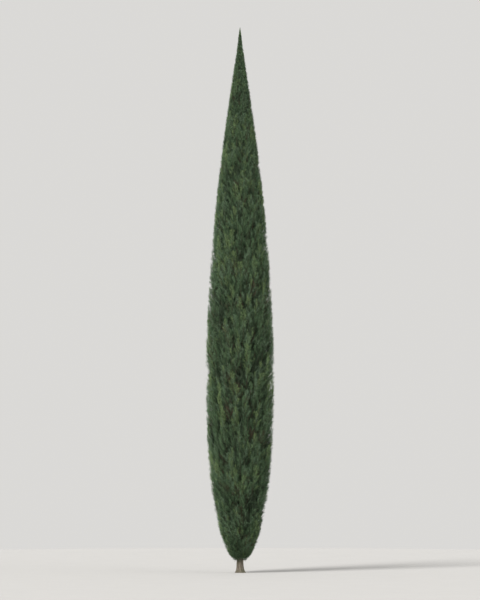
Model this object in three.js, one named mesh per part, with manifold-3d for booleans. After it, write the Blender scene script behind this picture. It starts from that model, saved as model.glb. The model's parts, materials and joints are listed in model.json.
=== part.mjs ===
// A pencil cypress: a tall, narrow evergreen tree rooted in level ground.
// Millimetres, +Z up. The origin is the centre of the flat cut under the trunk.
//
// One trunk runs up to the crown's tip. Round it stand tiers of steep boughs, and each bough carries
// one mass of foliage: a dense core with pointed sprays standing out of it. The masses share the
// crown between them like closed scales, and the sprays' tips reach the crown's smooth outline.

import * as THREE from "three";
import { mergeVertices } from "three/addons/utils/BufferGeometryUtils.js";
import Module from "manifold-3d";

const wasm = await Module();
wasm.setup();

// The crown's outline, a spindle with a pointed top and a rounded foot
const HEIGHT = 12000;
const CROWN_RADIUS = 737;
const CROWN_FOOT = 225; // the foliage starts this far above the ground
const WIDEST_AT = 4350;
const SHOULDER = 1.74; // the power of the long curve up to the tip
const BELLY = 2.3; // the powers of the short curve down to the foot
const BELLY_ROUNDING = 0.46;

// The trunk
const TRUNK_RADIUS = 77; // just above the root flare
const TRUNK_TOP = 11200;
const TRUNK_TIP_RADIUS = 8;
const TRUNK_TAPER = 0.9;
const TRUNK_SIDES = 15;
const TRUNK_HEIGHTS = [0, 35, 80, 140, 230, 420, 900, 1800, 3200, 4800, 6400, 8000, 9600, 10600];
const FLARE_REACH = 46; // how far the root flare stands out at the ground
const FLARE_FADE = 62; // it falls to a third in this height
const FLARE_ROOTS = 5;
const FLARE_WAVE = 0.34; // how much the roots stand out of the flare, as a share of it
const AXIS_CLEAR = 1; // points nearer the axis than this are on it

// The masses of foliage
const TIERS = 7;
const PER_TIER = 4;
const FIRST_TIER_AT = 1000;
const LEAST_PITCH = 420; // from one tier to the next where the crown is thinnest
const ADDED_PITCH = 1130; // more where it is widest
const TIP_MASS_AT = 10700;
const TURN_WOBBLE = 0.24; // radians
const LIFT_WOBBLE = 150;
const SEED_SHARE = 0.62; // where a mass's middle lies between the axis and the outline
const STRETCH = 2.4; // how much taller than wide a mass is
const CORE_SHARE = 0.83; // of the outline's radius
const CORE_FOOT_SHARE = 0.94; // at the foot, where the sprays are short
const CORE_WOBBLE = 0.05; // how much one core stands out more or less than the next
const CORE_GAP = 12; // from a core to the edge of its own space
const OVERLAP = 0.45; // how steeply a mass laps up over the outside of the ones above it
const TWIST = THREE.MathUtils.degToRad(20); // how far the joins between masses turn off the radius
const FRINGE = 0.25; // how far past its quarter of the crown a mass may reach, in radians
const INNER_SPAN = 0.6; // half the height of a mass's inner side, as a share of the tier's rise
const HEART_SIDES = 18;
const HEART_HEIGHTS = [300, 480, 800, 1350, 2200, 3200, 4350, 5700, 7000, 8200, 9300, 10200, 11000, 11500];
const TIP_BARE = 160; // the heart ends this far under the crown's tip
const INNER_SHARE = 0.3; // the bare wood's room round the trunk, as a share of the outline's radius
const INNER_LEAST = 40; // and at least this clear of the trunk

// The boughs
const BOUGH_SHARE = 0.4; // of the trunk's radius where it leaves it
const BOUGH_TIP_SHARE = 0.66; // of its own radius at the foot
const BOUGH_RISE = 470;
const LOWEST_BOUGH = CROWN_FOOT + 45;
const KNEE_OUT = 0.62; // where a bough bends, as a share of its way out
const KNEE_UP = 0.42; // and of its way up
const BOUGH_INTO_MASS = 45; // from the edge of the bare wood's room
const FOOT_DROP = 0.38; // a mass's foot lies this share of the tier's rise under its middle
const LIMB_SIDES = 5;
const LIMB_STEPS = 3;
const ACROSS = new THREE.Vector3(0.31, 0.95, 0.02).normalize(); // no limb runs along this

// The sprays
const SPRAYS = 13; // on a mass
const TIP_SPRAYS = 22; // on the mass at the crown's tip, which goes all the way round
const SPRAY_TRIES = 300;
const SPRAY_APART = 0.32; // the least distance between two tips, as a share of their length
const SPRAY_LENGTH = 700; // where the crown is widest
const SPRAY_LEAST = 250; // at the tip
const SPRAY_WOBBLE = 0.15; // how much longer or shorter one spray is, as a share
const SPRAY_ZONE = 1.05; // how far above and under its middle a mass has sprays, in tier rises
const SPRAY_DEPTH = 0.85; // the most of the way in to the bare wood that a spray may take
const LEAST_SLOPE = 0.2; // a spray counts as leaning by this sine at least
const STAND_OFF = THREE.MathUtils.degToRad(15); // how far a spray leans out from the outline
const MOST_REACH = 1.02; // how far out the furthest tips are, as a share of the outline's radius
const REACH_WOBBLE = 0.04; // and how much nearer the nearest ones
const SPRAY_ROLL = THREE.MathUtils.degToRad(50); // how far it is turned about its own length
const SPRAY_THICKNESS = 0.07; // half its thickness at the middle, as a share of its length
const SPRAY_MIDDLE = 0.4; // where it is thickest, as a share of its length
// The toothed edge of a spray: how far to the side and how far along, as shares of its length
const SPRAY_EDGE = [
  [0, 0],
  [0.14, 0.64],
  [0.07, 0.6],
  [0, 1],
  [-0.07, 0.68],
  [-0.13, 0.5],
];
const SUNK = 25; // a spray's root this deep in a core holds by itself
const STEM_SUNK = 700; // the top stem starts this far down, before it is cut clear of the trunk
const STEM_TIP_SHARE = 0.5; // of its radius at the foot
const TWIG_RADIUS = 7;
const TWIG_SIDES = 3;
const TWIG_SUNK = 0.02; // how far a twig's end goes into its spray, as a share of its length
const LEADER_WIDTH = 0.5; // the shoot at the crown's tip is this much slimmer than a spray

// Clearances
const SEAT = 0.3; // between a bough and the trunk, and between a mass and its bough
const SOCKET = 4; // round a limb inside a mass
const SLIVER = 1.5; // faces thinner than this are merged away where shapes meet

const GREEN = new THREE.MeshStandardMaterial({ color: 0x45523f, roughness: 0.78, metalness: 0 });
const BARK = new THREE.MeshStandardMaterial({ color: 0x6a6053, roughness: 0.9, metalness: 0 });

const UP = new THREE.Vector3(0, 0, 1);
const EVEN_STEPS = [0.7548776662466927, 0.5698402909980532]; // they spread points evenly over a square
const CORE_STREAM = 500; // where the cores' own streams of numbers start
const SPRAY_STREAM = 9000;

// A repeatable stream of numbers from 0 to 1.
function stream(seed) {
  let state = seed >>> 0;
  return () => {
    state = (state + 0x6d2b79f5) >>> 0;
    let mixed = Math.imul(state ^ (state >>> 15), state | 1);
    mixed ^= mixed + Math.imul(mixed ^ (mixed >>> 7), mixed | 61);
    return ((mixed ^ (mixed >>> 14)) >>> 0) / 4294967296;
  };
}

// The crown's radius at a height.
function outline(height) {
  if (height >= HEIGHT || height <= CROWN_FOOT) return 0;
  if (height >= WIDEST_AT) {
    return CROWN_RADIUS * (1 - ((height - WIDEST_AT) / (HEIGHT - WIDEST_AT)) ** SHOULDER);
  }
  const down = (WIDEST_AT - height) / (WIDEST_AT - CROWN_FOOT);
  return CROWN_RADIUS * (1 - down ** BELLY) ** BELLY_ROUNDING;
}

// The angle by which the outline leans out at a height, in radians.
function outlineLean(height) {
  const step = 20;
  return Math.atan((outline(height + step) - outline(height - step)) / (2 * step));
}

function trunkRadius(height) {
  const left = Math.max(0, 1 - height / TRUNK_TOP);
  return TRUNK_TIP_RADIUS + (TRUNK_RADIUS - TRUNK_TIP_RADIUS) * left ** TRUNK_TAPER;
}

// The radius of the room kept for bare wood round the trunk.
function innerRadius(height) {
  return Math.max(trunkRadius(height) + INNER_LEAST, INNER_SHARE * outline(height));
}

function pitchAt(height) {
  return LEAST_PITCH + (ADDED_PITCH * outline(height)) / CROWN_RADIUS;
}

function place(turn, radius, height) {
  return new THREE.Vector3(Math.cos(turn) * radius, Math.sin(turn) * radius, height);
}

// A closed geometry as a solid. Faces that close up at a pole or an end are dropped.
function solidOf(geometry) {
  const bare = new THREE.BufferGeometry();
  bare.setAttribute("position", geometry.getAttribute("position"));
  bare.setIndex(geometry.index);
  const merged = mergeVertices(bare, 1e-3);
  const corners = [];
  for (let i = 0; i < merged.index.count; i += 3) {
    const [a, b, c] = merged.index.array.slice(i, i + 3);
    if (a !== b && b !== c && c !== a) corners.push(a, b, c);
  }
  return new wasm.Manifold(
    new wasm.Mesh({
      numProp: 3,
      vertProperties: new Float32Array(merged.getAttribute("position").array),
      triVerts: new Uint32Array(corners),
    }),
  );
}

function geometryOf(solid) {
  const mesh = solid.getMesh();
  const geometry = new THREE.BufferGeometry();
  geometry.setAttribute("position", new THREE.BufferAttribute(mesh.vertProperties, 3));
  geometry.setIndex(new THREE.BufferAttribute(mesh.triVerts, 1));
  geometry.computeVertexNormals();
  return geometry;
}

// The trunk, or with a clearance a sheath that fits over it.
function trunkSolid(clearance = 0, topClearance = 0) {
  const heights = [...TRUNK_HEIGHTS, TRUNK_TOP + topClearance];
  const profile = heights.map((z) => new THREE.Vector2(trunkRadius(z) + clearance, z));
  profile.unshift(new THREE.Vector2(0, 0));
  profile.push(new THREE.Vector2(0, TRUNK_TOP + topClearance));
  const geometry = new THREE.LatheGeometry(profile, TRUNK_SIDES).rotateX(Math.PI / 2);
  const spots = geometry.getAttribute("position");
  for (let i = 0; i < spots.count; i++) {
    const [x, y, z] = [spots.getX(i), spots.getY(i), spots.getZ(i)];
    const radius = Math.hypot(x, y);
    if (radius < AXIS_CLEAR) continue;
    const roots = 1 + FLARE_WAVE * Math.cos(FLARE_ROOTS * Math.atan2(y, x));
    const grown = 1 + (FLARE_REACH * Math.exp(-z / FLARE_FADE) * roots) / radius;
    spots.setXY(i, x * grown, y * grown);
  }
  return solidOf(geometry);
}

// A tapering limb along a curve.
function limb(curve, footRadius, tipRadius, sides = LIMB_SIDES, steps = LIMB_STEPS) {
  const geometry = new THREE.CylinderGeometry(1, 1, 1, sides, steps);
  const spots = geometry.getAttribute("position");
  for (let i = 0; i < spots.count; i++) {
    const along = spots.getY(i) + 0.5;
    const tangent = curve.getTangent(along);
    const side = new THREE.Vector3().crossVectors(ACROSS, tangent).normalize();
    const other = new THREE.Vector3().crossVectors(tangent, side);
    const radius = THREE.MathUtils.lerp(footRadius, tipRadius, along);
    const spot = curve
      .getPoint(along)
      .addScaledVector(side, spots.getZ(i) * radius)
      .addScaledVector(other, spots.getX(i) * radius);
    spots.setXYZ(i, spot.x, spot.y, spot.z);
  }
  return solidOf(geometry);
}

// A toothed blade with a ridge on both its faces. `frame` turns its own side, length and face.
function bladeSolid({ root, frame, length, width }) {
  const geometry = new THREE.SphereGeometry(1, SPRAY_EDGE.length, 2);
  const spots = geometry.getAttribute("position");
  for (let i = 0; i < spots.count; i++) {
    const spot = bladePoint(spots.getX(i), spots.getY(i), spots.getZ(i), width);
    spots.setXYZ(i, spot.x * length, spot.y * length, spot.z * length);
  }
  return solidOf(geometry.applyMatrix4(frame).translate(root.x, root.y, root.z));
}

// A point of a ball with one ring, moved to a blade's face or to its edge.
function bladePoint(x, y, z, width) {
  if (Math.abs(y) > 0.5) return new THREE.Vector3(0, SPRAY_MIDDLE, -Math.sign(y) * SPRAY_THICKNESS * width);
  const count = SPRAY_EDGE.length;
  const corner = (Math.round((Math.atan2(z, x) / (2 * Math.PI)) * count) + count) % count;
  return new THREE.Vector3(SPRAY_EDGE[corner][0] * width, SPRAY_EDGE[corner][1], 0);
}

// The middle of each mass, tier by tier, staggered like bricks, with the mass at the crown's tip last.
function massSeeds() {
  const seeds = [];
  let height = FIRST_TIER_AT;
  let pitch = pitchAt(height);
  for (let tier = 1; tier <= TIERS; tier++) {
    for (let i = 0; i < PER_TIER; i++) {
      const draw = stream(tier * 100 + i);
      const turn = ((i + (tier % 2) / 2) * 2 * Math.PI) / PER_TIER + (draw() - 0.5) * TURN_WOBBLE;
      const lift = height + (draw() - 0.5) * LIFT_WOBBLE;
      const middle = place(turn, SEED_SHARE * outline(lift), lift);
      const drop = FOOT_DROP * pitch;
      seeds.push({ name: `${tier}${"abcd"[i]}`, turn, middle, drop, spread: Math.PI / PER_TIER + FRINGE });
    }
    pitch = pitchAt(height);
    height += pitch;
  }
  seeds.push({ name: "tip", turn: 0, middle: place(0, 0, TIP_MASS_AT), spread: Math.PI });
  return seeds;
}

// The join between two masses faces from one to the other, half way between them. It is tilted so
// that the lower mass laps over the upper one, and turned so that no join looks straight inwards.
function joinBetween(seed, other) {
  const between = seed.middle.clone().add(other.middle).multiplyScalar(0.5);
  const across = other.middle.clone().sub(seed.middle);
  const rise = THREE.MathUtils.clamp(across.z / pitchAt(between.z), -1, 1);
  const outward = between.clone().setZ(0).normalize();
  const normal = across.multiply(new THREE.Vector3(1, 1, 1 / STRETCH ** 2)).normalize();
  normal.addScaledVector(outward, -OVERLAP * rise).normalize().applyAxisAngle(UP, TWIST);
  return { normal, reach: normal.dot(between) };
}

// The flat sides of a mass's own space: its joins with the others, and the room round the trunk.
function spaceOf(seed, seeds) {
  const sides = seeds.filter((other) => other !== seed).map((other) => joinBetween(seed, other));
  if (seed.name !== "tip") {
    const half = pitchAt(seed.middle.z) * INNER_SPAN;
    const low = innerRadius(seed.middle.z - half);
    const high = innerRadius(seed.middle.z + half);
    const normal = place(seed.turn, -2 * half, high - low).normalize();
    sides.push({ normal, reach: normal.dot(place(seed.turn, low, seed.middle.z - half)) });
  }
  return sides;
}

function isInside(sides, point, margin) {
  return sides.every(({ normal, reach }) => normal.dot(point) < reach - margin);
}

function heartRadius(height) {
  const up = THREE.MathUtils.smoothstep(height, CROWN_FOOT, WIDEST_AT / 2);
  return outline(height) * THREE.MathUtils.lerp(CORE_FOOT_SHARE, CORE_SHARE, up);
}

// The body of the whole crown inside its sprays, faceted, before it is parted into cores.
function heartSolid() {
  const profile = [new THREE.Vector2(0, CROWN_FOOT)];
  for (const z of HEART_HEIGHTS) profile.push(new THREE.Vector2(heartRadius(z), z));
  profile.push(new THREE.Vector2(0, HEIGHT - TIP_BARE));
  return solidOf(new THREE.LatheGeometry(profile, HEART_SIDES).rotateX(Math.PI / 2));
}

// A mass's core: the part of the heart in its space, a little clear of every side.
function coreSolid(heart, sides, number) {
  const bulk = 1 + (2 * stream(CORE_STREAM + number)() - 1) * CORE_WOBBLE;
  return sides.reduce((left, { normal, reach }) => {
    const inward = normal.clone().negate();
    return left.trimByPlane(inward.toArray(), CORE_GAP - reach);
  }, heart.scale([bulk, bulk, 1]));
}

// Where a bough ends and its mass's stem takes over.
function footOf(seed) {
  const height = seed.middle.z - seed.drop;
  return place(seed.turn, innerRadius(height) + BOUGH_INTO_MASS, height);
}

// A bough leaves the trunk's middle line slanting out, and turns up towards its mass.
function boughCurve(seed, shortBy) {
  const foot = footOf(seed);
  const start = place(seed.turn, 0, Math.max(LOWEST_BOUGH, foot.z - BOUGH_RISE));
  const rise = THREE.MathUtils.lerp(start.z, foot.z, KNEE_UP);
  const knee = place(seed.turn, Math.hypot(foot.x, foot.y) * KNEE_OUT, rise);
  const end = foot.clone().addScaledVector(foot.clone().sub(knee).normalize(), -shortBy);
  return new THREE.QuadraticBezierCurve3(start, knee, end);
}

function boughSolid(seed, clearance, shortBy) {
  const curve = boughCurve(seed, shortBy);
  const radius = BOUGH_SHARE * trunkRadius(curve.v0.z);
  return limb(curve, radius + clearance, radius * BOUGH_TIP_SHARE + clearance);
}

// A stem starts as thick as the limb under it ends.
function stemRadius(seed) {
  if (seed.name === "tip") return TRUNK_TIP_RADIUS;
  return BOUGH_SHARE * BOUGH_TIP_SHARE * trunkRadius(boughCurve(seed, 0).v0.z);
}

// A mass's stem, from its bough's end up through its middle, or up from the trunk's tip.
function stemCurve(seed) {
  const top = seed.middle.clone();
  if (seed.name === "tip") {
    top.z = HEIGHT - SPRAY_LEAST;
    return new THREE.LineCurve3(place(0, 0, TRUNK_TOP - STEM_SUNK), top);
  }
  const { v1: knee, v2: foot } = boughCurve(seed, 0);
  const onward = foot.clone().sub(knee).normalize();
  top.z += seed.drop;
  const turn = foot.clone().addScaledVector(onward, foot.distanceTo(seed.middle));
  return new THREE.QuadraticBezierCurve3(foot, turn, top);
}

// A spray whose tip is at a point of the outline. It leans out, and stays outside the radius `bare`.
function sprayAt(turn, height, bare, reach, size, roll) {
  const full = SPRAY_LEAST + ((SPRAY_LENGTH - SPRAY_LEAST) * outline(height)) / CROWN_RADIUS;
  const lean = outlineLean(height - full / 3) + STAND_OFF;
  const room = outline(height) - bare;
  const length = Math.min(full * size, (SPRAY_DEPTH * room) / Math.max(LEAST_SLOPE, Math.sin(lean)));
  const along = place(turn, Math.sin(lean), Math.cos(lean));
  const tangent = place(turn + Math.PI / 2, 1, 0);
  const face = new THREE.Vector3().crossVectors(tangent, along);
  const side = tangent.multiplyScalar(Math.cos(roll)).addScaledVector(face, Math.sin(roll));
  const frame = new THREE.Matrix4().makeBasis(side, along, new THREE.Vector3().crossVectors(side, along));
  const tip = place(turn, outline(height) * reach, height);
  const root = tip.clone().addScaledVector(along, -length);
  return { root, tip, frame, length, width: 1 };
}

// Whether every corner of a spray keeps to its mass's space and to the crown's outline.
function sprayFits({ root, frame, length, width }, sides) {
  const corners = SPRAY_EDGE.map(([side, along]) => new THREE.Vector3(side * width, along, 0));
  for (const face of [-SPRAY_THICKNESS, SPRAY_THICKNESS]) {
    corners.push(new THREE.Vector3(0, SPRAY_MIDDLE, face * width));
  }
  return corners.every((corner) => {
    const spot = corner.multiplyScalar(length).applyMatrix4(frame).add(root);
    return isInside(sides, spot, 1) && Math.hypot(spot.x, spot.y) <= MOST_REACH * outline(spot.z) + 1;
  });
}

// The sprays of a mass: spread evenly by a seeded sequence, and kept where the whole spray fits.
function massSprays(seed, sides, number) {
  const draw = stream(SPRAY_STREAM + number);
  const [first, second] = [draw(), draw()];
  const half = seed.name === "tip" ? HEIGHT - TIP_MASS_AT : pitchAt(seed.middle.z) * SPRAY_ZONE;
  const widest = outline(Math.min(Math.max(WIDEST_AT, seed.middle.z - half), seed.middle.z + half));
  const most = seed.name === "tip" ? TIP_SPRAYS : SPRAYS;
  const sprays = [];
  for (let i = 1; i <= SPRAY_TRIES && sprays.length < most; i++) {
    const across = (first + i * EVEN_STEPS[0]) % 1;
    const up = (second + i * EVEN_STEPS[1]) % 1;
    const turn = seed.turn + (2 * across - 1) * seed.spread;
    const height = seed.middle.z + (2 * up - 1) * half;
    const size = 1 + (2 * draw() - 1) * SPRAY_WOBBLE;
    const reach = MOST_REACH - REACH_WOBBLE * draw();
    const roll = (2 * draw() - 1) * SPRAY_ROLL;
    if (draw() > outline(height) / widest) continue;
    const bare = seed.name === "tip" ? 0 : innerRadius(height);
    const spray = sprayAt(turn, height, bare, reach, size, roll);
    const crowded = sprays.some(({ tip }) => tip.distanceTo(spray.tip) < SPRAY_APART * spray.length);
    if (!crowded && sprayFits(spray, sides)) sprays.push(spray);
  }
  return sprays;
}

// Whether a spray's root is well inside the core, so that it needs no twig of its own.
function isSunk({ root }, sides) {
  const depth = (1 - CORE_WOBBLE) * heartRadius(root.z) - Math.hypot(root.x, root.y);
  return depth > SUNK && isInside(sides, root, CORE_GAP + SUNK);
}

// A thin twig that rises from the stem into a spray's root.
function twigSolid({ root, tip }, stem) {
  const [foot, top] = [stem.getPoint(0), stem.getPoint(1)];
  const end = root.clone().lerp(tip, TWIG_SUNK);
  const rise = Math.hypot(end.x - foot.x, end.y - foot.y);
  const share = THREE.MathUtils.clamp((end.z - rise - foot.z) / (top.z - foot.z), 0.1, 0.9);
  const curve = new THREE.LineCurve3(stem.getPoint(share), end);
  return limb(curve, TWIG_RADIUS, TWIG_RADIUS / 2, TWIG_SIDES, 1);
}

// The shoot at the crown's very tip.
function leaderSolid() {
  const frame = new THREE.Matrix4().makeRotationX(Math.PI / 2);
  const length = HEIGHT - TRUNK_TOP - SEAT;
  return bladeSolid({ root: place(0, 0, HEIGHT - length), frame, length, width: LEADER_WIDTH });
}

// One mass of foliage, cut clear of the limb that carries it.
function massSolid(seed, seeds, number, heart, sheath) {
  const sides = spaceOf(seed, seeds);
  const stem = stemCurve(seed);
  const sprays = massSprays(seed, sides, number);
  const radius = stemRadius(seed);
  const parts = [coreSolid(heart, sides, number), limb(stem, radius, radius * STEM_TIP_SHARE)];
  for (const spray of sprays) {
    parts.push(bladeSolid(spray));
    if (!isSunk(spray, sides)) parts.push(twigSolid(spray, stem));
  }
  if (seed.name === "tip") parts.push(leaderSolid());
  const whole = wasm.Manifold.union(parts).subtract(sheath).simplify(SLIVER);
  return whole.decompose().reduce((most, body) => (body.volume() > most.volume() ? body : most));
}

function node(name, solid, material) {
  const mesh = new THREE.Mesh(geometryOf(solid), material);
  mesh.name = name;
  return mesh;
}

function buildTree() {
  const tree = new THREE.Group();
  const seeds = massSeeds();
  const heart = heartSolid();
  const trunkSheath = trunkSolid(SEAT, SEAT);
  tree.add(node("trunk", trunkSolid(), BARK));
  seeds.forEach((seed, number) => {
    if (seed.name === "tip") {
      tree.add(node("foliage_tip", massSolid(seed, seeds, number, heart, trunkSolid(SOCKET, SEAT)), GREEN));
      return;
    }
    tree.add(node(`bough_${seed.name}`, boughSolid(seed, 0, SEAT).subtract(trunkSheath), BARK));
    const mass = massSolid(seed, seeds, number, heart, boughSolid(seed, SOCKET, 0));
    tree.add(node(`foliage_${seed.name}`, mass, GREEN));
  });
  return tree;
}

export default buildTree();
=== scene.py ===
"""A pencil cypress in its finished looks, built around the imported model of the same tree.

The crown is grown by the rule that parts the model's masses of foliage: the same seeds, spaces, boughs,
stems and sprays, in metres, carried on to finer sprays, twigs and leafy shoots inside the same outline.
"""

import json
import logging
import math
from dataclasses import dataclass, field, fields, replace
from enum import Enum
from typing import Self

import bpy
import numpy as np
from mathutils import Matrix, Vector

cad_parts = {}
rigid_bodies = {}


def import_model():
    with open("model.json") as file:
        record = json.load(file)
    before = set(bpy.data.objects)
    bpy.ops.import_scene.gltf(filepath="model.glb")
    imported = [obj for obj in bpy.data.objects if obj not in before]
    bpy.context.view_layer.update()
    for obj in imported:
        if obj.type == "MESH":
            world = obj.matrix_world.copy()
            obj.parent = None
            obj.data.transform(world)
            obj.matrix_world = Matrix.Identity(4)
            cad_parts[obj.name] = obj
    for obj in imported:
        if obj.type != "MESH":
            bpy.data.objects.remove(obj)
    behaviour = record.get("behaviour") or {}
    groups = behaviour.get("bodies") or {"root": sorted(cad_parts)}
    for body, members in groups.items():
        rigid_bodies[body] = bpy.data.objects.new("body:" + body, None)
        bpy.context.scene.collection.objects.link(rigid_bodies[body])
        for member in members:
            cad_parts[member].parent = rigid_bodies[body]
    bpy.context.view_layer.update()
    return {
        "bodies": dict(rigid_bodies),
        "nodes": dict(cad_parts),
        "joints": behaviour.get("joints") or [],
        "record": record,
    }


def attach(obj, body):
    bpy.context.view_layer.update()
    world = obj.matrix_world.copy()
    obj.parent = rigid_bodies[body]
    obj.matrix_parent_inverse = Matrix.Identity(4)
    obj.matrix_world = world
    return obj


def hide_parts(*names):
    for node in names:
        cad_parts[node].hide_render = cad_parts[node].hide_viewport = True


LOG = logging.getLogger("cypress")
FURROW_LAYER = "furrow"  # how deep the bark lies at each point of a limb
FULL_TURN = 2 * math.pi
GOLDEN_TURN = math.pi * (3 - math.sqrt(5))  # turns by this never line up
TINY = 1e-12  # a length of nothing is divided by this instead
ACROSS = (0.31, 0.95, 0.02)  # no limb or twig runs along this
TUBE_CAPS = (-0.3, 1.5)  # where a tube closes, in radii along it from its first and its last ring

# Short names for types
Colour = tuple[float, float, float]
Direction = tuple[float, float, float]
Span = tuple[float, float]
Array = np.ndarray
Numbers = Array | float
Random = np.random.Generator
Material = bpy.types.Material
NodeTree = bpy.types.NodeTree
Socket = bpy.types.NodeSocket
Piece = bpy.types.Object
Inputs = dict[str | int, object]


class Slot(Enum):
    """The model's material slots."""

    BARK = "bark"
    FOLIAGE = "foliage"


class NumberStream:
    """A repeatable stream of numbers from 0 to 1, the one that the model's own rule draws from."""

    STEP = 0x6D2B79F5
    WORD = 0xFFFFFFFF
    SHIFTS = (15, 7, 14)
    FACTOR = 61

    def __init__(self, seed: int) -> None:
        """Starts the stream at a seed."""
        self.state = seed & self.WORD

    def draw(self) -> float:
        """Draws one number.

        Returns:
            The stream's next number.
        """
        first, second, last = self.SHIFTS
        self.state = (self.state + self.STEP) & self.WORD
        mixed = ((self.state ^ (self.state >> first)) * (self.state | 1)) & self.WORD
        mixed ^= (mixed + (mixed ^ (mixed >> second)) * (mixed | self.FACTOR)) & self.WORD
        return ((mixed ^ (mixed >> last)) & self.WORD) / (self.WORD + 1)

    def take(self, count: int) -> Array:
        """Returns the next numbers as one array."""
        return np.array([self.draw() for _ in range(count)])


def place(turn: Numbers, radius: Numbers, height: Numbers) -> Array:
    """Returns points at angles round the trunk, distances from its middle line and heights."""
    parts = np.broadcast_arrays(np.cos(turn) * radius, np.sin(turn) * radius, height)
    return np.stack([np.asarray(part, float) for part in parts], axis=-1)


def leaning(turn: Numbers, lean: Numbers) -> Array:
    """Returns the directions that lean out from upright by an angle, at angles round the trunk."""
    return place(turn, np.sin(lean), np.cos(lean))


def turns_round(count: int) -> Array:
    """Returns evenly spaced angles, once round."""
    return np.arange(count) * FULL_TURN / count


def run_of(points: Array) -> Array:
    """Returns how far points are from the trunk's middle line."""
    return np.hypot(points[..., 0], points[..., 1])


def inward(points: Array, share: Array) -> Array:
    """Returns points at a share of their distance from the trunk's middle line."""
    return points * np.stack([share, share, np.ones(len(share))], axis=1)


def unit(vectors: Array) -> Array:
    """Returns the vectors at a length of 1."""
    return vectors / np.maximum(np.linalg.norm(vectors, axis=-1, keepdims=True), TINY)


def mix(low: Numbers, high: Numbers, share: Numbers) -> Numbers:
    """Returns what lies between low and high, by a share from 0 to 1."""
    return low + (high - low) * share


def smooth_step(value: Array, low: float, high: float) -> Array:
    """Returns 0 under low and 1 over high, with a smooth rise between them."""
    share = np.clip((value - low) / (high - low), 0, 1)
    return share * share * (3 - 2 * share)


class Rows:
    """Arrays that belong together row by row."""

    def picked(self, rows: Array) -> Self:
        """Returns the same arrays with these rows only."""
        return type(self)(*[getattr(self, part.name)[rows] for part in fields(self)])


@dataclass(frozen=True)
class Bend(Rows):
    """Quadratic curves, one for each row of the three arrays of points."""

    start: Array
    knee: Array
    end: Array

    def at(self, share: Numbers) -> Array:
        """Returns a point on each curve, at its share of the way along."""
        share = np.asarray(share, float)[..., None]
        return (1 - share) ** 2 * self.start + 2 * (1 - share) * share * self.knee + share**2 * self.end

    def heading(self, share: Numbers) -> Array:
        """Returns each curve's direction, at its share of the way along."""
        share = np.asarray(share, float)[..., None]
        return unit((1 - share) * (self.knee - self.start) + share * (self.end - self.knee))


@dataclass(frozen=True)
class CrownShape:
    """The crown's outline, a spindle with a pointed top and a rounded foot."""

    height: float = 12.0
    radius: float = 0.737
    foot: float = 0.225  # the foliage starts this far above the ground
    widest_at: float = 4.35
    shoulder: float = 1.74  # the power of the long curve up to the tip
    belly: float = 2.3  # the powers of the short curve down to the foot
    belly_rounding: float = 0.46
    lean_step: float = 0.02  # the lean is measured between this far below and above

    def outline(self, height: Numbers) -> Array:
        """The crown's radius.

        Args:
            height: Heights above the ground.

        Returns:
            The radius at each height.
        """
        height = np.asarray(height, float)
        up = np.clip((height - self.widest_at) / (self.height - self.widest_at), 0, 1)
        down = np.clip((self.widest_at - height) / (self.widest_at - self.foot), 0, 1)
        upper = 1 - up**self.shoulder
        lower = (1 - down**self.belly) ** self.belly_rounding
        return self.radius * np.where(height >= self.widest_at, upper, lower)

    def lean(self, height: Numbers) -> Array:
        """Returns the angle by which the outline leans out at each height."""
        rise = self.outline(height + self.lean_step) - self.outline(height - self.lean_step)
        return np.arctan(rise / (2 * self.lean_step))


@dataclass(frozen=True)
class TrunkShape:
    """The trunk's taper and its root flare."""

    radius: float = 0.077  # just above the root flare
    top: float = 11.2
    tip_radius: float = 0.008
    taper: float = 0.9  # the power by which it narrows
    flare_reach: float = 0.046  # how far the root flare stands out at the ground
    flare_fade: float = 0.062  # it falls to about a third in this height
    flare_roots: int = 5
    flare_wave: float = 0.34  # how much the roots stand out of the flare, as a share of it

    def radius_at(self, height: Numbers) -> Array:
        """Returns the trunk's radius at each height, without its flare."""
        left = np.clip(1 - np.asarray(height, float) / self.top, 0, 1)
        return self.tip_radius + (self.radius - self.tip_radius) * left**self.taper

    def flare_at(self, turn: Array, height: Array) -> Array:
        """Returns how far the roots' flare stands out of the trunk."""
        roots = 1 + self.flare_wave * np.cos(self.flare_roots * turn)
        return self.flare_reach * np.exp(-height / self.flare_fade) * roots


@dataclass(frozen=True)
class MassSpace:
    """The space of one mass of foliage, as the flat sides that close it in."""

    normals: Array
    reaches: Array

    def holds(self, points: Array, margin: float) -> Array:
        """Returns whether each point is in the space, and clear of its sides by a margin."""
        return np.all(points @ self.normals.T < self.reaches - margin, axis=-1)


@dataclass(frozen=True)
class Mass:
    """One mass of foliage: its name, tier, place in the crown and how far round it may reach."""

    name: str
    tier: int
    number: int
    turn: float
    middle: Array
    drop: float  # how far its foot lies under its middle
    spread: float  # how far it may reach to each side, in radians

    @property
    def is_tip(self) -> bool:
        """Whether this is the mass at the crown's tip."""
        return self.name == "tip"


@dataclass(frozen=True)
class SprayRule:
    """How one kind of spray is spread over a mass."""

    stream_start: int  # the first seed of its own numbers
    count: int  # on a mass, at the most
    tip_count: int  # and on the mass at the crown's tip
    tries: int
    apart: float  # the least distance between two tips, as a share of a spray's length
    length_share: float = 1.0  # of the full length at that height
    reach: float = 1.02  # how far out the furthest tips are, as a share of the outline's radius
    reach_wobble: float = 0.04  # and how much nearer the nearest ones
    stand_off: float = math.radians(15)  # how far a spray leans out from the outline
    loose: bool = False  # whether it is scattered, and only its ends have to fit


@dataclass(frozen=True)
class Sprays(Rows):
    """Sprays, one for each row: where they start and end, and how they are turned."""

    root: Array
    tip: Array
    along: Array
    side: Array
    length: Array

    def drawn_in(self, share: Array) -> Self:
        """Returns the sprays at a share of their distance from the trunk's middle line."""
        return replace(self, root=inward(self.root, share), tip=inward(self.tip, share))


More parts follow.
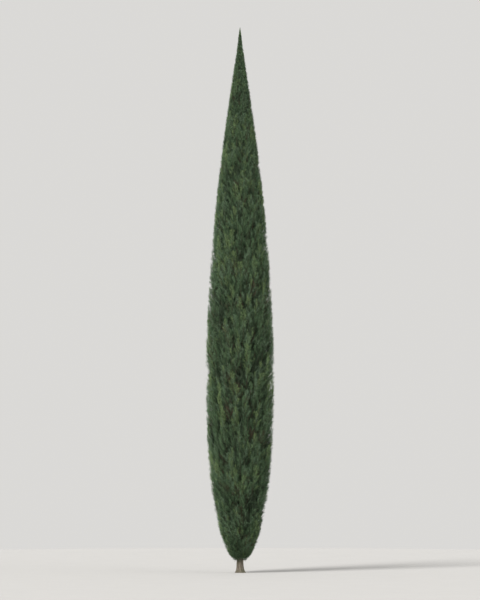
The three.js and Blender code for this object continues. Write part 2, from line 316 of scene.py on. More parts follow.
@dataclass(frozen=True)
class GrowthRule:
    """The rule by which the crown is parted into masses, and by which boughs, stems and sprays grow."""

    crown: CrownShape = CrownShape()
    trunk: TrunkShape = TrunkShape()
    tiers: int = 7
    per_tier: int = 4
    letters: str = "abcd"  # one for each mass of a tier
    first_tier_at: float = 1.0
    least_pitch: float = 0.42  # from one tier to the next where the crown is thinnest
    added_pitch: float = 1.13  # more where it is widest
    tip_mass_at: float = 10.7
    turn_wobble: float = 0.24  # in radians
    lift_wobble: float = 0.15
    seed_share: float = 0.62  # where a mass's middle lies between the axis and the outline
    stretch: float = 2.4  # how much taller than wide a mass is
    overlap: float = 0.45  # how steeply a mass laps up over the outside of the ones above it
    twist: float = math.radians(20)  # how far the joins between masses turn off the radius
    fringe: float = 0.25  # how far past its quarter of the crown a mass may reach, in radians
    inner_span: float = 0.6  # half the height of a mass's inner side, as a share of the tier's rise
    inner_share: float = 0.3  # the bare wood's room, as a share of the outline's radius
    inner_least: float = 0.04  # and at least this clear of the trunk
    bough_share: float = 0.4  # of the trunk's radius where it leaves it
    bough_tip_share: float = 0.66  # of its own radius at the foot
    bough_rise: float = 0.47
    lowest_bough: float = 0.27
    knee_out: float = 0.62  # where a bough bends, as a share of its way out
    knee_up: float = 0.42  # and of its way up
    bough_into_mass: float = 0.045  # from the edge of the bare wood's room
    foot_drop: float = 0.38  # a mass's foot lies this share of the tier's rise under its middle
    stem_tip_share: float = 0.5  # of its radius at the foot
    stem_sunk: float = 0.7  # the top stem starts this far under the trunk's tip
    spray_length: float = 0.7  # where the crown is widest
    spray_least: float = 0.25  # at the tip
    spray_wobble: float = 0.15  # how much longer or shorter one spray is, as a share
    spray_zone: float = 1.05  # how far above and under its middle a mass has sprays, in tier rises
    spray_depth: float = 0.85  # the most of the way in to the bare wood that a spray may take
    least_slope: float = 0.2  # a spray counts as leaning by this sine at least
    spray_roll: float = math.radians(50)  # how far it is turned about its own length
    spray_thickness: float = 0.07  # half its thickness at the middle, as a share of its length
    spray_middle: float = 0.4  # where it is thickest, as a share of its length
    most_reach: float = 1.02  # how far out a corner may be, as a share of the outline's radius
    seam: float = 0.001  # the clearance from a space's sides, and the slack at the outline
    # The toothed edge of a spray: how far to the side and how far along, as shares of its length
    spray_edge: tuple[Span, ...] = (
        (0, 0), (0.14, 0.64), (0.07, 0.6), (0, 1), (-0.07, 0.68), (-0.13, 0.5),
    )
    even_steps: Span = (0.7548776662466927, 0.5698402909980532)  # their multiples spread points evenly
    seed_stream: int = 100  # from one tier's seeds to the next one's
    scatter_stream: int = 500  # what a loose kind's scatter adds to its seed

    def pitch_at(self, height: float) -> float:
        """Returns the rise from one tier to the next at a height."""
        return float(self.least_pitch + self.added_pitch * self.crown.outline(height) / self.crown.radius)

    def inner_radius(self, height: Numbers) -> Array:
        """Returns the radius of the room kept for bare wood round the trunk."""
        clear = self.trunk.radius_at(height) + self.inner_least
        return np.maximum(clear, self.inner_share * self.crown.outline(height))

    def masses(self) -> list[Mass]:
        """Places the masses round the trunk.

        Returns:
            Every mass, tier by tier, with the mass at the crown's tip last.
        """
        found = []
        height = self.first_tier_at
        pitch = self.pitch_at(height)
        spread = math.pi / self.per_tier + self.fringe
        for tier in range(1, self.tiers + 1):
            for i in range(self.per_tier):
                numbers = NumberStream(tier * self.seed_stream + i)
                turn = (i + (tier % 2) / 2) * FULL_TURN / self.per_tier
                turn += (numbers.draw() - 0.5) * self.turn_wobble
                lift = height + (numbers.draw() - 0.5) * self.lift_wobble
                middle = place(turn, self.seed_share * self.crown.outline(lift), lift)
                name = f"{tier}{self.letters[i]}"
                found.append(Mass(name, tier, len(found), turn, middle, self.foot_drop * pitch, spread))
            pitch = self.pitch_at(height)
            height += pitch
        middle = place(0.0, 0.0, self.tip_mass_at)
        found.append(Mass("tip", self.tiers + 1, len(found), 0.0, middle, 0.0, math.pi))
        return found

    def join_between(self, mass: Mass, other: Mass) -> tuple[Array, float]:
        """The flat join between two masses.

        Args:
            mass: The mass whose side the join closes.
            other: The mass beyond the join.

        Returns:
            The join's normal, which faces the other mass, and its distance from the origin.
        """
        between = (mass.middle + other.middle) / 2
        across = other.middle - mass.middle
        rise = min(1.0, max(-1.0, across[2] / self.pitch_at(between[2])))
        outward = unit(between * [1, 1, 0])
        normal = unit(across * [1, 1, 1 / self.stretch**2])
        normal = unit(normal - outward * self.overlap * rise)
        cosine, sine = math.cos(self.twist), math.sin(self.twist)
        x, y, z = normal
        turned = np.array([x * cosine - y * sine, x * sine + y * cosine, z])
        return turned, float(np.dot(turned, between))

    def space_of(self, mass: Mass, masses: list[Mass]) -> MassSpace:
        """The space of a mass.

        Args:
            mass: The mass.
            masses: All the masses, which share the crown.

        Returns:
            The space between the joins with the others, outside the room for bare wood.
        """
        sides = [self.join_between(mass, other) for other in masses if other is not mass]
        if not mass.is_tip:
            half = self.pitch_at(mass.middle[2]) * self.inner_span
            low = float(self.inner_radius(mass.middle[2] - half))
            high = float(self.inner_radius(mass.middle[2] + half))
            normal = unit(place(mass.turn, -2 * half, high - low))
            sides.append((normal, float(normal @ place(mass.turn, low, mass.middle[2] - half))))
        return MassSpace(np.array([side[0] for side in sides]), np.array([side[1] for side in sides]))

    def bough_curve(self, mass: Mass) -> Bend:
        """The middle line of a bough.

        Args:
            mass: The mass that the bough carries.

        Returns:
            The curve from the trunk's middle line to the mass.
        """
        height = mass.middle[2] - mass.drop
        foot = place(mass.turn, self.inner_radius(height) + self.bough_into_mass, height)
        start = place(mass.turn, 0.0, max(self.lowest_bough, height - self.bough_rise))
        knee_radius = math.hypot(foot[0], foot[1]) * self.knee_out
        knee = place(mass.turn, knee_radius, mix(start[2], foot[2], self.knee_up))
        return Bend(start, knee, foot)

    def bough_radius(self, mass: Mass) -> float:
        """Returns a bough's radius where it leaves the trunk."""
        return float(self.bough_share * self.trunk.radius_at(self.bough_curve(mass).start[2]))

    def stem_radius(self, mass: Mass) -> float:
        """Returns the radius of a mass's stem at its foot."""
        return self.trunk.tip_radius if mass.is_tip else self.bough_radius(mass) * self.bough_tip_share

    def stem_curve(self, mass: Mass) -> Bend:
        """The middle line of a mass's stem.

        Args:
            mass: The mass.

        Returns:
            The curve, which grows on from the mass's bough, or from the trunk at the crown's tip.
        """
        if mass.is_tip:
            foot = place(0.0, 0.0, self.trunk.top - self.stem_sunk)
            top = place(0.0, 0.0, self.crown.height - self.spray_least)
            return Bend(foot, (foot + top) / 2, top)
        bough = self.bough_curve(mass)
        onward = unit(bough.end - bough.knee)
        knee = bough.end + onward * np.linalg.norm(bough.end - mass.middle)
        return Bend(bough.end, knee, mass.middle + [0, 0, mass.drop])

    def sprays_of(self, mass: Mass, space: MassSpace, rule: SprayRule, taken: Array) -> Sprays:
        """Spreads sprays over a mass evenly, and keeps those that stay in its space and in the outline.

        Args:
            mass: The mass that bears the sprays.
            space: The mass's own space.
            rule: How many sprays, how long and how far apart.
            taken: The tips of other sprays, which these keep clear of.

        Returns:
            The sprays that were kept.
        """
        crown = self.crown
        # Two numbers start the spread, and each try has four more
        numbers = NumberStream(rule.stream_start + mass.number).take(2 + 4 * rule.tries)
        *looks, draws = numbers[2:].reshape(-1, 4).T
        half = crown.height - self.tip_mass_at
        if not mass.is_tip:
            half = self.pitch_at(mass.middle[2]) * self.spray_zone
        tries = np.arange(1, rule.tries + 1)
        across = (numbers[0] + tries * self.even_steps[0]) % 1
        up = (numbers[1] + tries * self.even_steps[1]) % 1
        if rule.loose:
            scatter = NumberStream(rule.stream_start + self.scatter_stream + mass.number)
            across, up = scatter.take(2 * rule.tries).reshape(2, -1)
        turn = mass.turn + (2 * across - 1) * mass.spread
        height = mass.middle[2] + (2 * up - 1) * half
        widest_at = min(max(crown.widest_at, mass.middle[2] - half), mass.middle[2] + half)
        wide_enough = draws <= crown.outline(height) / crown.outline(widest_at)
        found = self.sprays_at(mass, rule, turn, height, looks)
        fits = wide_enough & (self.ends_fit(found, space) if rule.loose else self.fits(found, space))
        kept: list[int] = []
        for i in np.flatnonzero(fits):
            tips = np.concatenate([taken, found.tip[kept]])
            gaps = np.linalg.norm(tips - found.tip[i], axis=-1)
            if not np.any(gaps < rule.apart * found.length[i]):
                kept.append(int(i))
            if len(kept) == (rule.tip_count if mass.is_tip else rule.count):
                break
        return found.picked(np.array(kept, int))

    def sprays_at(
        self, mass: Mass, rule: SprayRule, turn: Array, height: Array, looks: list[Array]
    ) -> Sprays:
        """Sprays whose tips are at given places of the outline, and which lean out from it.

        Args:
            mass: The mass that bears them.
            rule: How long they are, how far out they reach and how far they lean out.
            turn: Each tip's angle round the trunk.
            height: Each tip's height.
            looks: Each spray's numbers from 0 to 1 for its length, its reach and its turn about itself.

        Returns:
            The sprays, whether they fit or not.
        """
        sizes, reaches, rolls = looks
        outline = self.crown.outline(height)
        full = self.spray_least + (self.spray_length - self.spray_least) * outline / self.crown.radius
        size = rule.length_share * (1 + (2 * sizes - 1) * self.spray_wobble)
        roll = (2 * rolls - 1) * self.spray_roll
        # The outline's lean is taken a third of a spray's length under its tip
        lean = self.crown.lean(height - full / 3) + rule.stand_off
        room = outline - (0 if mass.is_tip else self.inner_radius(height))
        most = self.spray_depth * room / np.maximum(self.least_slope, np.sin(lean))
        length = np.minimum(full * size, most)
        along = leaning(turn, lean)
        tangent = place(turn + math.pi / 2, 1.0, 0.0)
        side = tangent * np.cos(roll)[:, None] + np.cross(tangent, along) * np.sin(roll)[:, None]
        tip = place(turn, outline * (rule.reach - rule.reach_wobble * reaches), height)
        return Sprays(tip - along * length[:, None], tip, along, side, length)

    def fits(self, sprays: Sprays, space: MassSpace) -> Array:
        """Finds the sprays that keep to their place with every corner.

        Args:
            sprays: The sprays.
            space: The space of their mass.

        Returns:
            Whether each spray keeps to the space and to the crown's outline.
        """
        corners = [(side, along, 0.0) for side, along in self.spray_edge]
        corners += [(0.0, self.spray_middle, face * self.spray_thickness) for face in (-1, 1)]
        face_way = np.cross(sprays.side, sprays.along)
        kept = np.ones(len(sprays.length), bool)
        for side, along, face in corners:
            offset = side * sprays.side + along * sprays.along + face * face_way
            spot = sprays.root + offset * sprays.length[:, None]
            limit = self.most_reach * self.crown.outline(spot[:, 2]) + self.seam
            kept &= space.holds(spot, self.seam) & (run_of(spot) <= limit)
        return kept

    def ends_fit(self, sprays: Sprays, space: MassSpace) -> Array:
        """Returns whether each spray ends in the mass's space and starts in the crown."""
        starts_inside = run_of(sprays.root) < self.crown.outline(sprays.root[:, 2])
        return space.holds(sprays.tip, self.seam) & starts_inside


def new_object(name: str, data: bpy.types.ID) -> Piece:
    """Adds an object to the scene.

    Args:
        name: Its name.
        data: The mesh, lamp or camera that it holds.

    Returns:
        The object.
    """
    made = bpy.data.objects.new(name, data)
    bpy.context.scene.collection.objects.link(made)
    return made


@dataclass
class MeshParts:
    """Triangles gathered for one piece, each with the number of the finish that it wears."""

    points: list[Array] = field(default_factory=list)
    faces: list[Array] = field(default_factory=list)
    finishes: list[Array] = field(default_factory=list)
    furrows: Array | None = None
    count: int = 0

    def add(self, points: Array, faces: Array, finish: Array | int) -> None:
        """Adds triangles.

        Args:
            points: The corners, one row each.
            faces: Three rows of points for each triangle.
            finish: The number of the finish, for all the triangles or for each.
        """
        self.points.append(points.reshape(-1, 3))
        self.faces.append(faces.reshape(-1, 3) + self.count)
        self.finishes.append(np.broadcast_to(finish, (faces.size // 3,)))
        self.count += points.size // 3

    def build(self, name: str, materials: list[Material]) -> Piece:
        """Makes one mesh of everything gathered.

        Args:
            name: The piece's name.
            materials: The finishes, in the order of their numbers.

        Returns:
            The piece, linked to the scene.
        """
        points = np.concatenate(self.points).astype(np.float32)
        faces = np.concatenate(self.faces).astype(np.int32)
        mesh = bpy.data.meshes.new(name)
        mesh.vertices.add(len(points))
        mesh.vertices.foreach_set("co", points.ravel())
        mesh.loops.add(faces.size)
        mesh.loops.foreach_set("vertex_index", faces.ravel())
        mesh.polygons.add(len(faces))
        mesh.polygons.foreach_set("loop_start", np.arange(0, faces.size, 3, dtype=np.int32))
        mesh.polygons.foreach_set("material_index", np.concatenate(self.finishes).astype(np.int32))
        mesh.update(calc_edges=True)
        mesh.shade_smooth()
        if self.furrows is not None:
            layer = mesh.attributes.new(FURROW_LAYER, "FLOAT", "POINT")
            layer.data.foreach_set("value", self.furrows.astype(np.float32).ravel())
        for material in materials:
            mesh.materials.append(material)
        return new_object(name, mesh)

    def dress(self, name: str, node: str, slot: Slot, materials: list[Material]) -> Piece:
        """Makes the piece that stands for a node of the model.

        Args:
            name: The piece's name.
            node: The node's name.
            slot: Not used.
            materials: The finishes, in the order of their numbers.

        Returns:
            The piece.
        """
        piece = self.build(name, materials)
        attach(piece, "root")
        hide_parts(node)
        return piece


def tube_faces(rings: int, sides: int) -> Array:
    """The triangles of a closed tube.

    Args:
        rings: How many rings of points the tube has. A last point beyond each end closes it.
        sides: How many points each ring has.

    Returns:
        The triangles. The points are the rings in order, then the foot's middle, then the top's.
    """
    ring = np.arange(rings - 1)[:, None] * sides
    here = np.arange(sides)[None, :]
    after = (here + 1) % sides
    low, low_next = ring + here, ring + after
    high, high_next = low + sides, low_next + sides
    walls = np.stack([low, low_next, high_next, low, high_next, high], axis=-1).reshape(-1, 3)
    foot, top = rings * sides, rings * sides + 1
    last = (rings - 1) * sides
    foot_faces = np.stack([after[0], here[0], np.full(sides, foot)], axis=-1)
    top_faces = np.stack([last + here[0], last + after[0], np.full(sides, top)], axis=-1)
    return np.concatenate([walls, foot_faces, top_faces])


def ring_points(centres: Array, headings: Array, radii: Array) -> Array:
    """Rings of points round bending limbs.

    Args:
        centres: The middle of each ring.
        headings: The limb's direction at each ring.
        radii: The distance of each point from the ring's middle, along the last axis.

    Returns:
        The points of each ring.
    """
    turn = turns_round(radii.shape[-1])
    side = unit(np.cross(ACROSS, headings))
    other = np.cross(headings, side)
    spokes = side[..., None, :] * np.cos(turn)[:, None] + other[..., None, :] * np.sin(turn)[:, None]
    return centres[..., None, :] + spokes * radii[..., None]


def add_tubes(parts: MeshParts, centres: Array, radii: Array, sides: int) -> None:
    """Adds tapering tubes, all with the same number of rings, to a piece of one finish.

    Args:
        parts: The piece.
        centres: The middles of each tube's rings.
        radii: The radius of each ring.
        sides: How many points each ring has.
    """
    ends = [0, -1]
    headings = unit(np.gradient(centres, axis=1))
    points = ring_points(centres, headings, np.repeat(radii[..., None], sides, axis=-1))
    closing = centres[:, ends] + headings[:, ends] * (radii[:, ends] * TUBE_CAPS)[..., None]
    every = np.concatenate([points.reshape(len(centres), -1, 3), closing], axis=1)
    shift = np.arange(len(every))[:, None, None] * every.shape[1]
    parts.add(every, tube_faces(radii.shape[1], sides) + shift, 0)


class Limb:
    """A limb of bare wood."""

    @staticmethod
    def dress(node: str, points: Array, ends: Array, furrow: Array, bark: Material) -> Piece:
        """Makes the piece of bark that stands for the limb.

        Args:
            node: The limb's node.
            points: Its rings of points.
            ends: The middles of its foot and of its top.
            furrow: How deep the bark lies at each point.
            bark: What it wears.

        Returns:
            The piece.
        """
        parts = MeshParts(furrows=np.append(furrow, [1.0, 1.0]))
        parts.add(np.concatenate([points.reshape(-1, 3), ends]), tube_faces(*furrow.shape), 0)
        return parts.dress(f"bark_{node}", node, Slot.BARK, [bark])


def ring_noise(turn: Array, height: Array, around: int, rise: float, seed: int) -> Array:
    """Smooth noise on a round surface, without a seam.

    Args:
        turn: Angles round the surface.
        height: Heights, or distances along it.
        around: How many patches go round.
        rise: How long each patch is.
        seed: Picks the pattern.

    Returns:
        A number from 0 to 1 for each place.
    """
    rows = int(np.max(height) / rise) + 2
    lattice = np.random.default_rng(seed).random((rows, around))
    across = (turn / FULL_TURN) % 1 * around
    up = height / rise
    column, row = np.floor(across).astype(int), np.floor(up).astype(int)
    along, above = smooth_step(across - column, 0, 1), smooth_step(up - row, 0, 1)
    left, right = column % around, (column + 1) % around
    low = mix(lattice[row, left], lattice[row, right], along)
    high = mix(lattice[row + 1, left], lattice[row + 1, right], along)
    return mix(low, high, above)


@dataclass(frozen=True)
class BarkRelief:
    """The bark's upright fissures, which wander, part and meet, and the stringy fibres between them."""

    fissures: tuple[int, ...] = (19, 27)  # how many of each kind go round
    wander: float = 1.6  # how far a fissure strays, in distances to the next
    wander_rise: float = 0.15  # the height over which it strays
    straying_alike: int = 2  # so many neighbours stray alike
    deep_alike: int = 3  # and so many are deep alike
    strength_rise: float = 1.7  # how long a deep or a faint stretch is, in wander rises
    strength_span: Span = (0.15, 0.6)  # where the noise turns from faint to deep
    sharpness: float = 6.0  # how often half a fissure's width goes into the distance to the next
    fibres: int = 79  # how many go round
    fibre_rise: float = 0.04
    fibre_share: float = 0.25  # of the relief's depth
    spiral: float = 0.5  # how fast the bark winds round, in radians to a metre
    seed: int = 11
    seed_step: int = 7
    fibre_seed_step: int = 5

    def fissure(self, turn: Array, along: Array, count: int, seed: int) -> Array:
        """One family of fissures.

        Args:
            turn: Angles round the limb.
            along: Distances along it.
            count: How many fissures go round.
            seed: Picks the pattern.

        Returns:
            From 0 between fissures to 1 in the middle of one.
        """
        drift = ring_noise(turn, along, count // self.straying_alike, self.wander_rise, seed)
        phase = turn * count / FULL_TURN + self.wander * drift
        line = 1 - np.minimum(1, self.sharpness * np.abs(phase - np.round(phase)))
        patch_rise = self.strength_rise * self.wander_rise
        strength = ring_noise(turn, along, count // self.deep_alike, patch_rise, seed + 1)
        return line * smooth_step(strength, *self.strength_span)

    def depth(self, turn: Array, along: Array) -> Array:
        """How deep the bark lies.

        Args:
            turn: Angles round the limb.
            along: Distances along it.

        Returns:
            From 0 on a ridge to 1 in a fissure.
        """
        turn = turn + self.spiral * along
        seeds = [self.seed + self.seed_step * i for i in range(len(self.fissures))]
        lines = [self.fissure(turn, along, count, seed) for count, seed in zip(self.fissures, seeds)]
        fibre = ring_noise(turn, along, self.fibres, self.fibre_rise, self.seed + self.fibre_seed_step)
        return (1 - self.fibre_share) * np.max(lines, axis=0) + self.fibre_share * fibre


class Operation(Enum):
    """What a node makes of its two inputs, by Blender's names."""

    ADD = "ADD"
    MULTIPLY = "MULTIPLY"
    DIVIDE = "DIVIDE"
    SCALE = "SCALE"
    MIX = "MIX"


class ShaderTree:
    """A material's or a group's nodes, with short ways to add and join them."""

    def __init__(self, tree: NodeTree) -> None:
        """Works on this tree."""
        self.tree = tree

    def feed(self, target: Socket, value: object) -> None:
        """Gives an input what it works with.

        Args:
            target: The input.
            value: An output to link, a number, or a colour of three numbers.
        """
        if isinstance(value, Socket):
            self.tree.links.new(value, target)
        else:
            target.default_value = (*value, 1) if isinstance(value, tuple) else value

    def node(self, kind: str, inputs: Inputs | None = None, **settings: object) -> bpy.types.Node:
        """Adds a node.

        Args:
            kind: Blender's name for the type of node.
            inputs: What its inputs are given, by name or by place.
            settings: Properties of the node.

        Returns:
            The new node.
        """
        made = self.tree.nodes.new(kind)
        for name, value in settings.items():
            setattr(made, name, value)
        for name, value in (inputs or {}).items():
            self.feed(made.inputs[name], value)
        return made

    def spot(self) -> Socket:
        """Returns the place on the surface, in metres."""
        return self.node("ShaderNodeTexCoord").outputs["Object"]

    def noise(self, vector: Socket, scale: float, detail: float) -> Socket:
        """Returns the value of a noise pattern."""
        inputs = {"Vector": vector, "Scale": scale, "Detail": detail}
        return self.node("ShaderNodeTexNoise", inputs).outputs["Fac"]

    def range(self, value: Socket, span: Span, onto: Span) -> Socket:
        """Returns a value taken from one range to another."""
        ends = dict(zip(("From Min", "From Max", "To Min", "To Max"), (*span, *onto)))
        return self.node("ShaderNodeMapRange", {"Value": value, **ends}).outputs["Result"]

    def math(self, way: Operation, first: object, second: object) -> Socket:
        """Returns what comes of two values."""
        return self.node("ShaderNodeMath", {0: first, 1: second}, operation=way.value).outputs[0]

    def scaled(self, vector: Socket, factor: Socket) -> Socket:
        """Returns a vector made longer by a factor."""
        inputs = {0: vector, "Scale": factor}
        return self.node("ShaderNodeVectorMath", inputs, operation=Operation.SCALE.value).outputs[0]

    def mixed(
        self, share: object, first: object, second: object, way: Operation = Operation.MIX
    ) -> Socket:
        """One colour changed by another.

        Args:
            share: How far it is changed.
            first: The colour.
            second: The other colour.
            way: What is made of the two.

        Returns:
            The changed colour.
        """
        inputs = {"Factor": share, "A": first, "B": second}
        mixer = self.node("ShaderNodeMix", inputs, data_type="RGBA", blend_type=way.value)
        return mixer.outputs["Result"]


class ShaderGroup(ShaderTree):
    """A shader group with named numbers as its inputs and outputs."""

    def __init__(self, name: str, inputs: dict[str, float], outputs: tuple[str, ...]) -> None:
        """Makes the group with its sockets.

        Args:
            name: The group's name.
            inputs: Each input's name and its usual value.
            outputs: Each output's name.
        """
        super().__init__(bpy.data.node_groups.new(name, "ShaderNodeTree"))
        for label, value in inputs.items():
            socket = self.tree.interface.new_socket(label, in_out="INPUT", socket_type="NodeSocketFloat")
            socket.default_value = value
        for label in outputs:
            self.tree.interface.new_socket(label, in_out="OUTPUT", socket_type="NodeSocketFloat")
        self.given = self.node("NodeGroupInput").outputs
        self.results = self.node("NodeGroupOutput").inputs

    def parted(self, vector: Socket) -> bpy.types.NodeOutputs:
        """Returns a vector's three numbers."""
        return self.node("ShaderNodeSeparateXYZ", {0: vector}).outputs


@dataclass(frozen=True)
class FibreGroup:
    """The shader group of long fibres that run up a limb: their height, and a mask of painted light on the
    raised ones.
    """

    detail: float = 6.0
    coarse_scale: float = 0.45
    fine_scale: float = 2.4
    coarse_share: float = 0.5
    ridge_span: Span = (0.38, 0.6)
    # Painted light: how light the raised fibres are, against painted shade between them
    ridge_light: Span = (0.1, 1.0)

    def tree(self) -> NodeTree:
        """Builds the group.

        Returns:
            Its tree of nodes.
        """
        inputs = {"Fibres per metre": 90.0, "Stretch": 14.0}
        group = ShaderGroup("Long fibres", inputs, ("Height", "Ridges"))
        spot = group.parted(group.spot())
        level = group.math(Operation.DIVIDE, spot["Z"], group.given["Stretch"])
        squeezed = group.node("ShaderNodeCombineXYZ", {"X": spot["X"], "Y": spot["Y"], "Z": level})
        scaled = group.scaled(squeezed.outputs[0], group.given["Fibres per metre"])
        coarse = group.noise(scaled, self.coarse_scale, self.detail)
        fine = group.noise(scaled, self.fine_scale, self.detail)
        coarse = group.math(Operation.MULTIPLY, coarse, self.coarse_share)
        fine = group.math(Operation.MULTIPLY, fine, 1 - self.coarse_share)
        fibres = group.math(Operation.ADD, coarse, fine)
        group.feed(group.results["Height"], fibres)
        # The mask paints light on the raised fibres and shade between them
        group.feed(group.results["Ridges"], group.range(fibres, self.ridge_span, self.ridge_light))
        return group.tree


@dataclass(frozen=True)
class WeatherGroup:
    """The shader group of soft patches, such as a green film on bark, that fade out above a height."""

    detail: float = 4.0
    patch_span: Span = (0.38, 0.66)

    def tree(self) -> NodeTree:
        """Builds the group.

        Returns:
            Its tree of nodes.
        """
        inputs = {"Patches per metre": 9.0, "Fades above": 2.0, "Amount": 0.7}
        group = ShaderGroup("Weathered patches", inputs, ("Mask",))
        spot = group.spot()
        noise = group.noise(group.scaled(spot, group.given["Patches per metre"]), 1.0, self.detail)
        patches = group.range(noise, self.patch_span, (0.0, 1.0))
        climbed = group.math(Operation.DIVIDE, group.parted(spot)["Z"], group.given["Fades above"])
        shown = group.math(Operation.MULTIPLY, patches, group.range(climbed, (0.0, 1.0), (1.0, 0.0)))
        group.feed(group.results["Mask"], group.math(Operation.MULTIPLY, shown, group.given["Amount"]))
        return group.tree


class Surface(ShaderTree):
    """A new material's nodes and its main shader."""

    def __init__(self, name: str) -> None:
        """Makes the material.

        Args:
            name: Its name.
        """
        self.material = bpy.data.materials.new(name)
        self.material.use_nodes = True
        super().__init__(self.material.node_tree)

    def finish(self, inputs: dict[str, object]) -> Material:
        """Gives the main shader its inputs.

        Args:
            inputs: What each input is given, by name.

        Returns:
            The material.
        """
        shader = self.tree.nodes["Principled BSDF"]
        for name, value in inputs.items():
            self.feed(shader.inputs[name], value)
        return self.material


@dataclass(frozen=True)
class BarkFinish:
    """Stringy grey-brown bark with a thin olive film where it stays damp, and painted shade in its fissures
    and between its raised fibres.
    """

    name: str
    # The colour of painted shade in the fissures and between the raised fibres
    furrow: Colour = (0.045, 0.034, 0.025)
    ridge: Colour = (0.250, 0.214, 0.172)
    film: Colour = (0.092, 0.104, 0.058)
    fibres_per_metre: float = 90.0
    stretch: float = 16.0  # how much longer than wide the fibres are
    film_amount: float = 0.6
    film_fades: float = 2.2  # the height where the film ends
    furrow_span: Span = (0.12, 0.5)  # the depths over which the ridge's colour turns into the furrow's painted shade
    rough_span: Span = (0.3, 0.7)  # the fibres' heights between which the roughness changes
    roughness: Span = (0.95, 0.78)  # from the lower of those heights to the upper
    bump_height: float = 0.004
    shine: float = 0.25

    def material(self, fibre_group: NodeTree, film_group: NodeTree) -> Material:
        """Builds the finish.

        Args:
            fibre_group: The group of long fibres.
            film_group: The group of weathered patches.

        Returns:
            The material.
        """
        surface = Surface(self.name)
        fibre_values = {"Fibres per metre": self.fibres_per_metre, "Stretch": self.stretch}
        fibres = surface.node("ShaderNodeGroup", fibre_values, node_tree=fibre_group).outputs
        film_values = {"Amount": self.film_amount, "Fades above": self.film_fades}
        film = surface.node("ShaderNodeGroup", film_values, node_tree=film_group).outputs
        furrow = surface.node("ShaderNodeAttribute", attribute_name=FURROW_LAYER).outputs["Fac"]
        # Painted shade: the bark darkens to the furrow colour in its fissures and, by the fibres' height,
        # between the raised fibres
        painted_light_share = surface.range(furrow, self.furrow_span, (1.0, 0.0))
        painted_light_share = surface.math(Operation.MULTIPLY, fibres["Ridges"], painted_light_share)
        wood = surface.mixed(painted_light_share, self.furrow, self.ridge)
        relief = {"Distance": self.bump_height, "Height": fibres["Height"]}
        bump = surface.node("ShaderNodeBump", relief)
        return surface.finish({
            "Base Color": surface.mixed(film["Mask"], wood, self.film),
            "Roughness": surface.range(fibres["Height"], self.rough_span, self.roughness),
            "Normal": bump.outputs["Normal"],
            "Specular IOR Level": self.shine,
        })


@dataclass(frozen=True)
class PlainFinish:
    """The matt, slightly waxy surface of scale leaves or thin twigs, in one plain colour."""

    name: str
    colour: Colour
    roughness: float
    shine: float = 0.28

    def material(self) -> Material:
        """Returns the finish as a material."""
        look = {"Base Color": self.colour, "Roughness": self.roughness, "Specular IOR Level": self.shine}
        return Surface(self.name).finish(look)


class Shade(Enum):
    """The plain colours of leaves: a base colour, then a roughness."""

    # From DEEP to FRESH the greens run from darkest to lightest; the darker ones also serve as painted
    # shade on plumes further in
    DEEP = (0.059, 0.107, 0.053, 0.72)
    DARK = (0.081, 0.143, 0.070, 0.70)
    PLAIN = (0.104, 0.178, 0.087, 0.66)
    GREY = (0.127, 0.201, 0.118, 0.68)
    OLIVE = (0.145, 0.218, 0.088, 0.62)
    FRESH = (0.176, 0.269, 0.116, 0.58)
    SHADED = (0.045, 0.070, 0.039, 0.80)
    WITHERED = (0.072, 0.062, 0.038, 0.85)

    @property
    def number(self) -> int:
        """The shade's place in a piece's list of finishes."""
        return list(Shade).index(self)

    def finish(self) -> PlainFinish:
        """Returns the shade as a finish."""
        *colour, roughness = self.value
        return PlainFinish(f"foliage {self.name.lower()}", tuple(colour), roughness)


@dataclass(frozen=True)
class FloorFinish:
    """The pale, faintly uneven floor."""

    colour: Colour = (0.465, 0.46, 0.452)
    roughness: float = 0.9
    patches_per_metre: float = 1.4
    patch_detail: float = 5.0
    patch_span: Span = (0.3, 0.7)
    patch_tones: Span = (0.985, 1.015)

    def material(self) -> Material:
        """Builds the finish.

        Returns:
            The material.
        """
        surface = Surface("pale floor")
        patches = surface.noise(surface.spot(), self.patches_per_metre, self.patch_detail)
        tone = surface.range(patches, self.patch_span, self.patch_tones)
        colour = surface.mixed(1.0, self.colour, tone, Operation.MULTIPLY)
        return surface.finish({"Base Color": colour, "Roughness": self.roughness})


class Palette:
    """Every finish of the tree, made once."""

    TRUNK = BarkFinish("trunk bark")
    BOUGH = BarkFinish("bough bark", fibres_per_metre=170.0, film_amount=0.4, bump_height=0.002)
    TWIG = PlainFinish("twig bark", (0.105, 0.079, 0.050), 0.82)

    def __init__(self) -> None:
        """Makes the materials."""
        groups = (FibreGroup().tree(), WeatherGroup().tree())
        self.leaves = [shade.finish().material() for shade in Shade]
        self.twigs = [self.TWIG.material()]
        self.trunk = self.TRUNK.material(*groups)
        self.bough = self.BOUGH.material(*groups)


@dataclass
class Trunk(Limb):
    """The trunk from the flat cut at the ground to its tip, with its flare and the bark's relief."""

    shape: TrunkShape
    relief: BarkRelief = BarkRelief()
    sides: int = 200  # fine, because the bark's relief is in the mesh
    fine_to: float = 0.36  # the rings are close together up to this height
    fine_rows: int = 100
    upper_rows: int = 20
    upper_spacing: float = 1.4  # the power by which they part above it
    bark_depth: float = 0.009

    def heights(self) -> Array:
        """The heights of the rings.

        Returns:
            Heights from the ground up, close together where the bark shows.
        """
        fine = np.linspace(0, self.fine_to, self.fine_rows, endpoint=False)
        upper = np.linspace(0, 1, self.upper_rows) ** self.upper_spacing
        return np.concatenate([fine, mix(self.fine_to, self.shape.top, upper)])

    def build(self, bark: Material) -> Piece:
        """Makes the trunk.

        Args:
            bark: What it wears.

        Returns:
            The piece.
        """
        turn, height = np.meshgrid(turns_round(self.sides), self.heights())
        plain = self.shape.radius_at(height)
        furrow = self.relief.depth(turn, height)
        depth = self.bark_depth * np.minimum(1, plain / self.shape.radius) * furrow
        radius = plain + self.shape.flare_at(turn, height) - depth
        ends = place(0.0, 0.0, np.array([0.0, self.shape.top]))
        return self.dress("trunk", place(turn, radius, height), ends, furrow, bark)


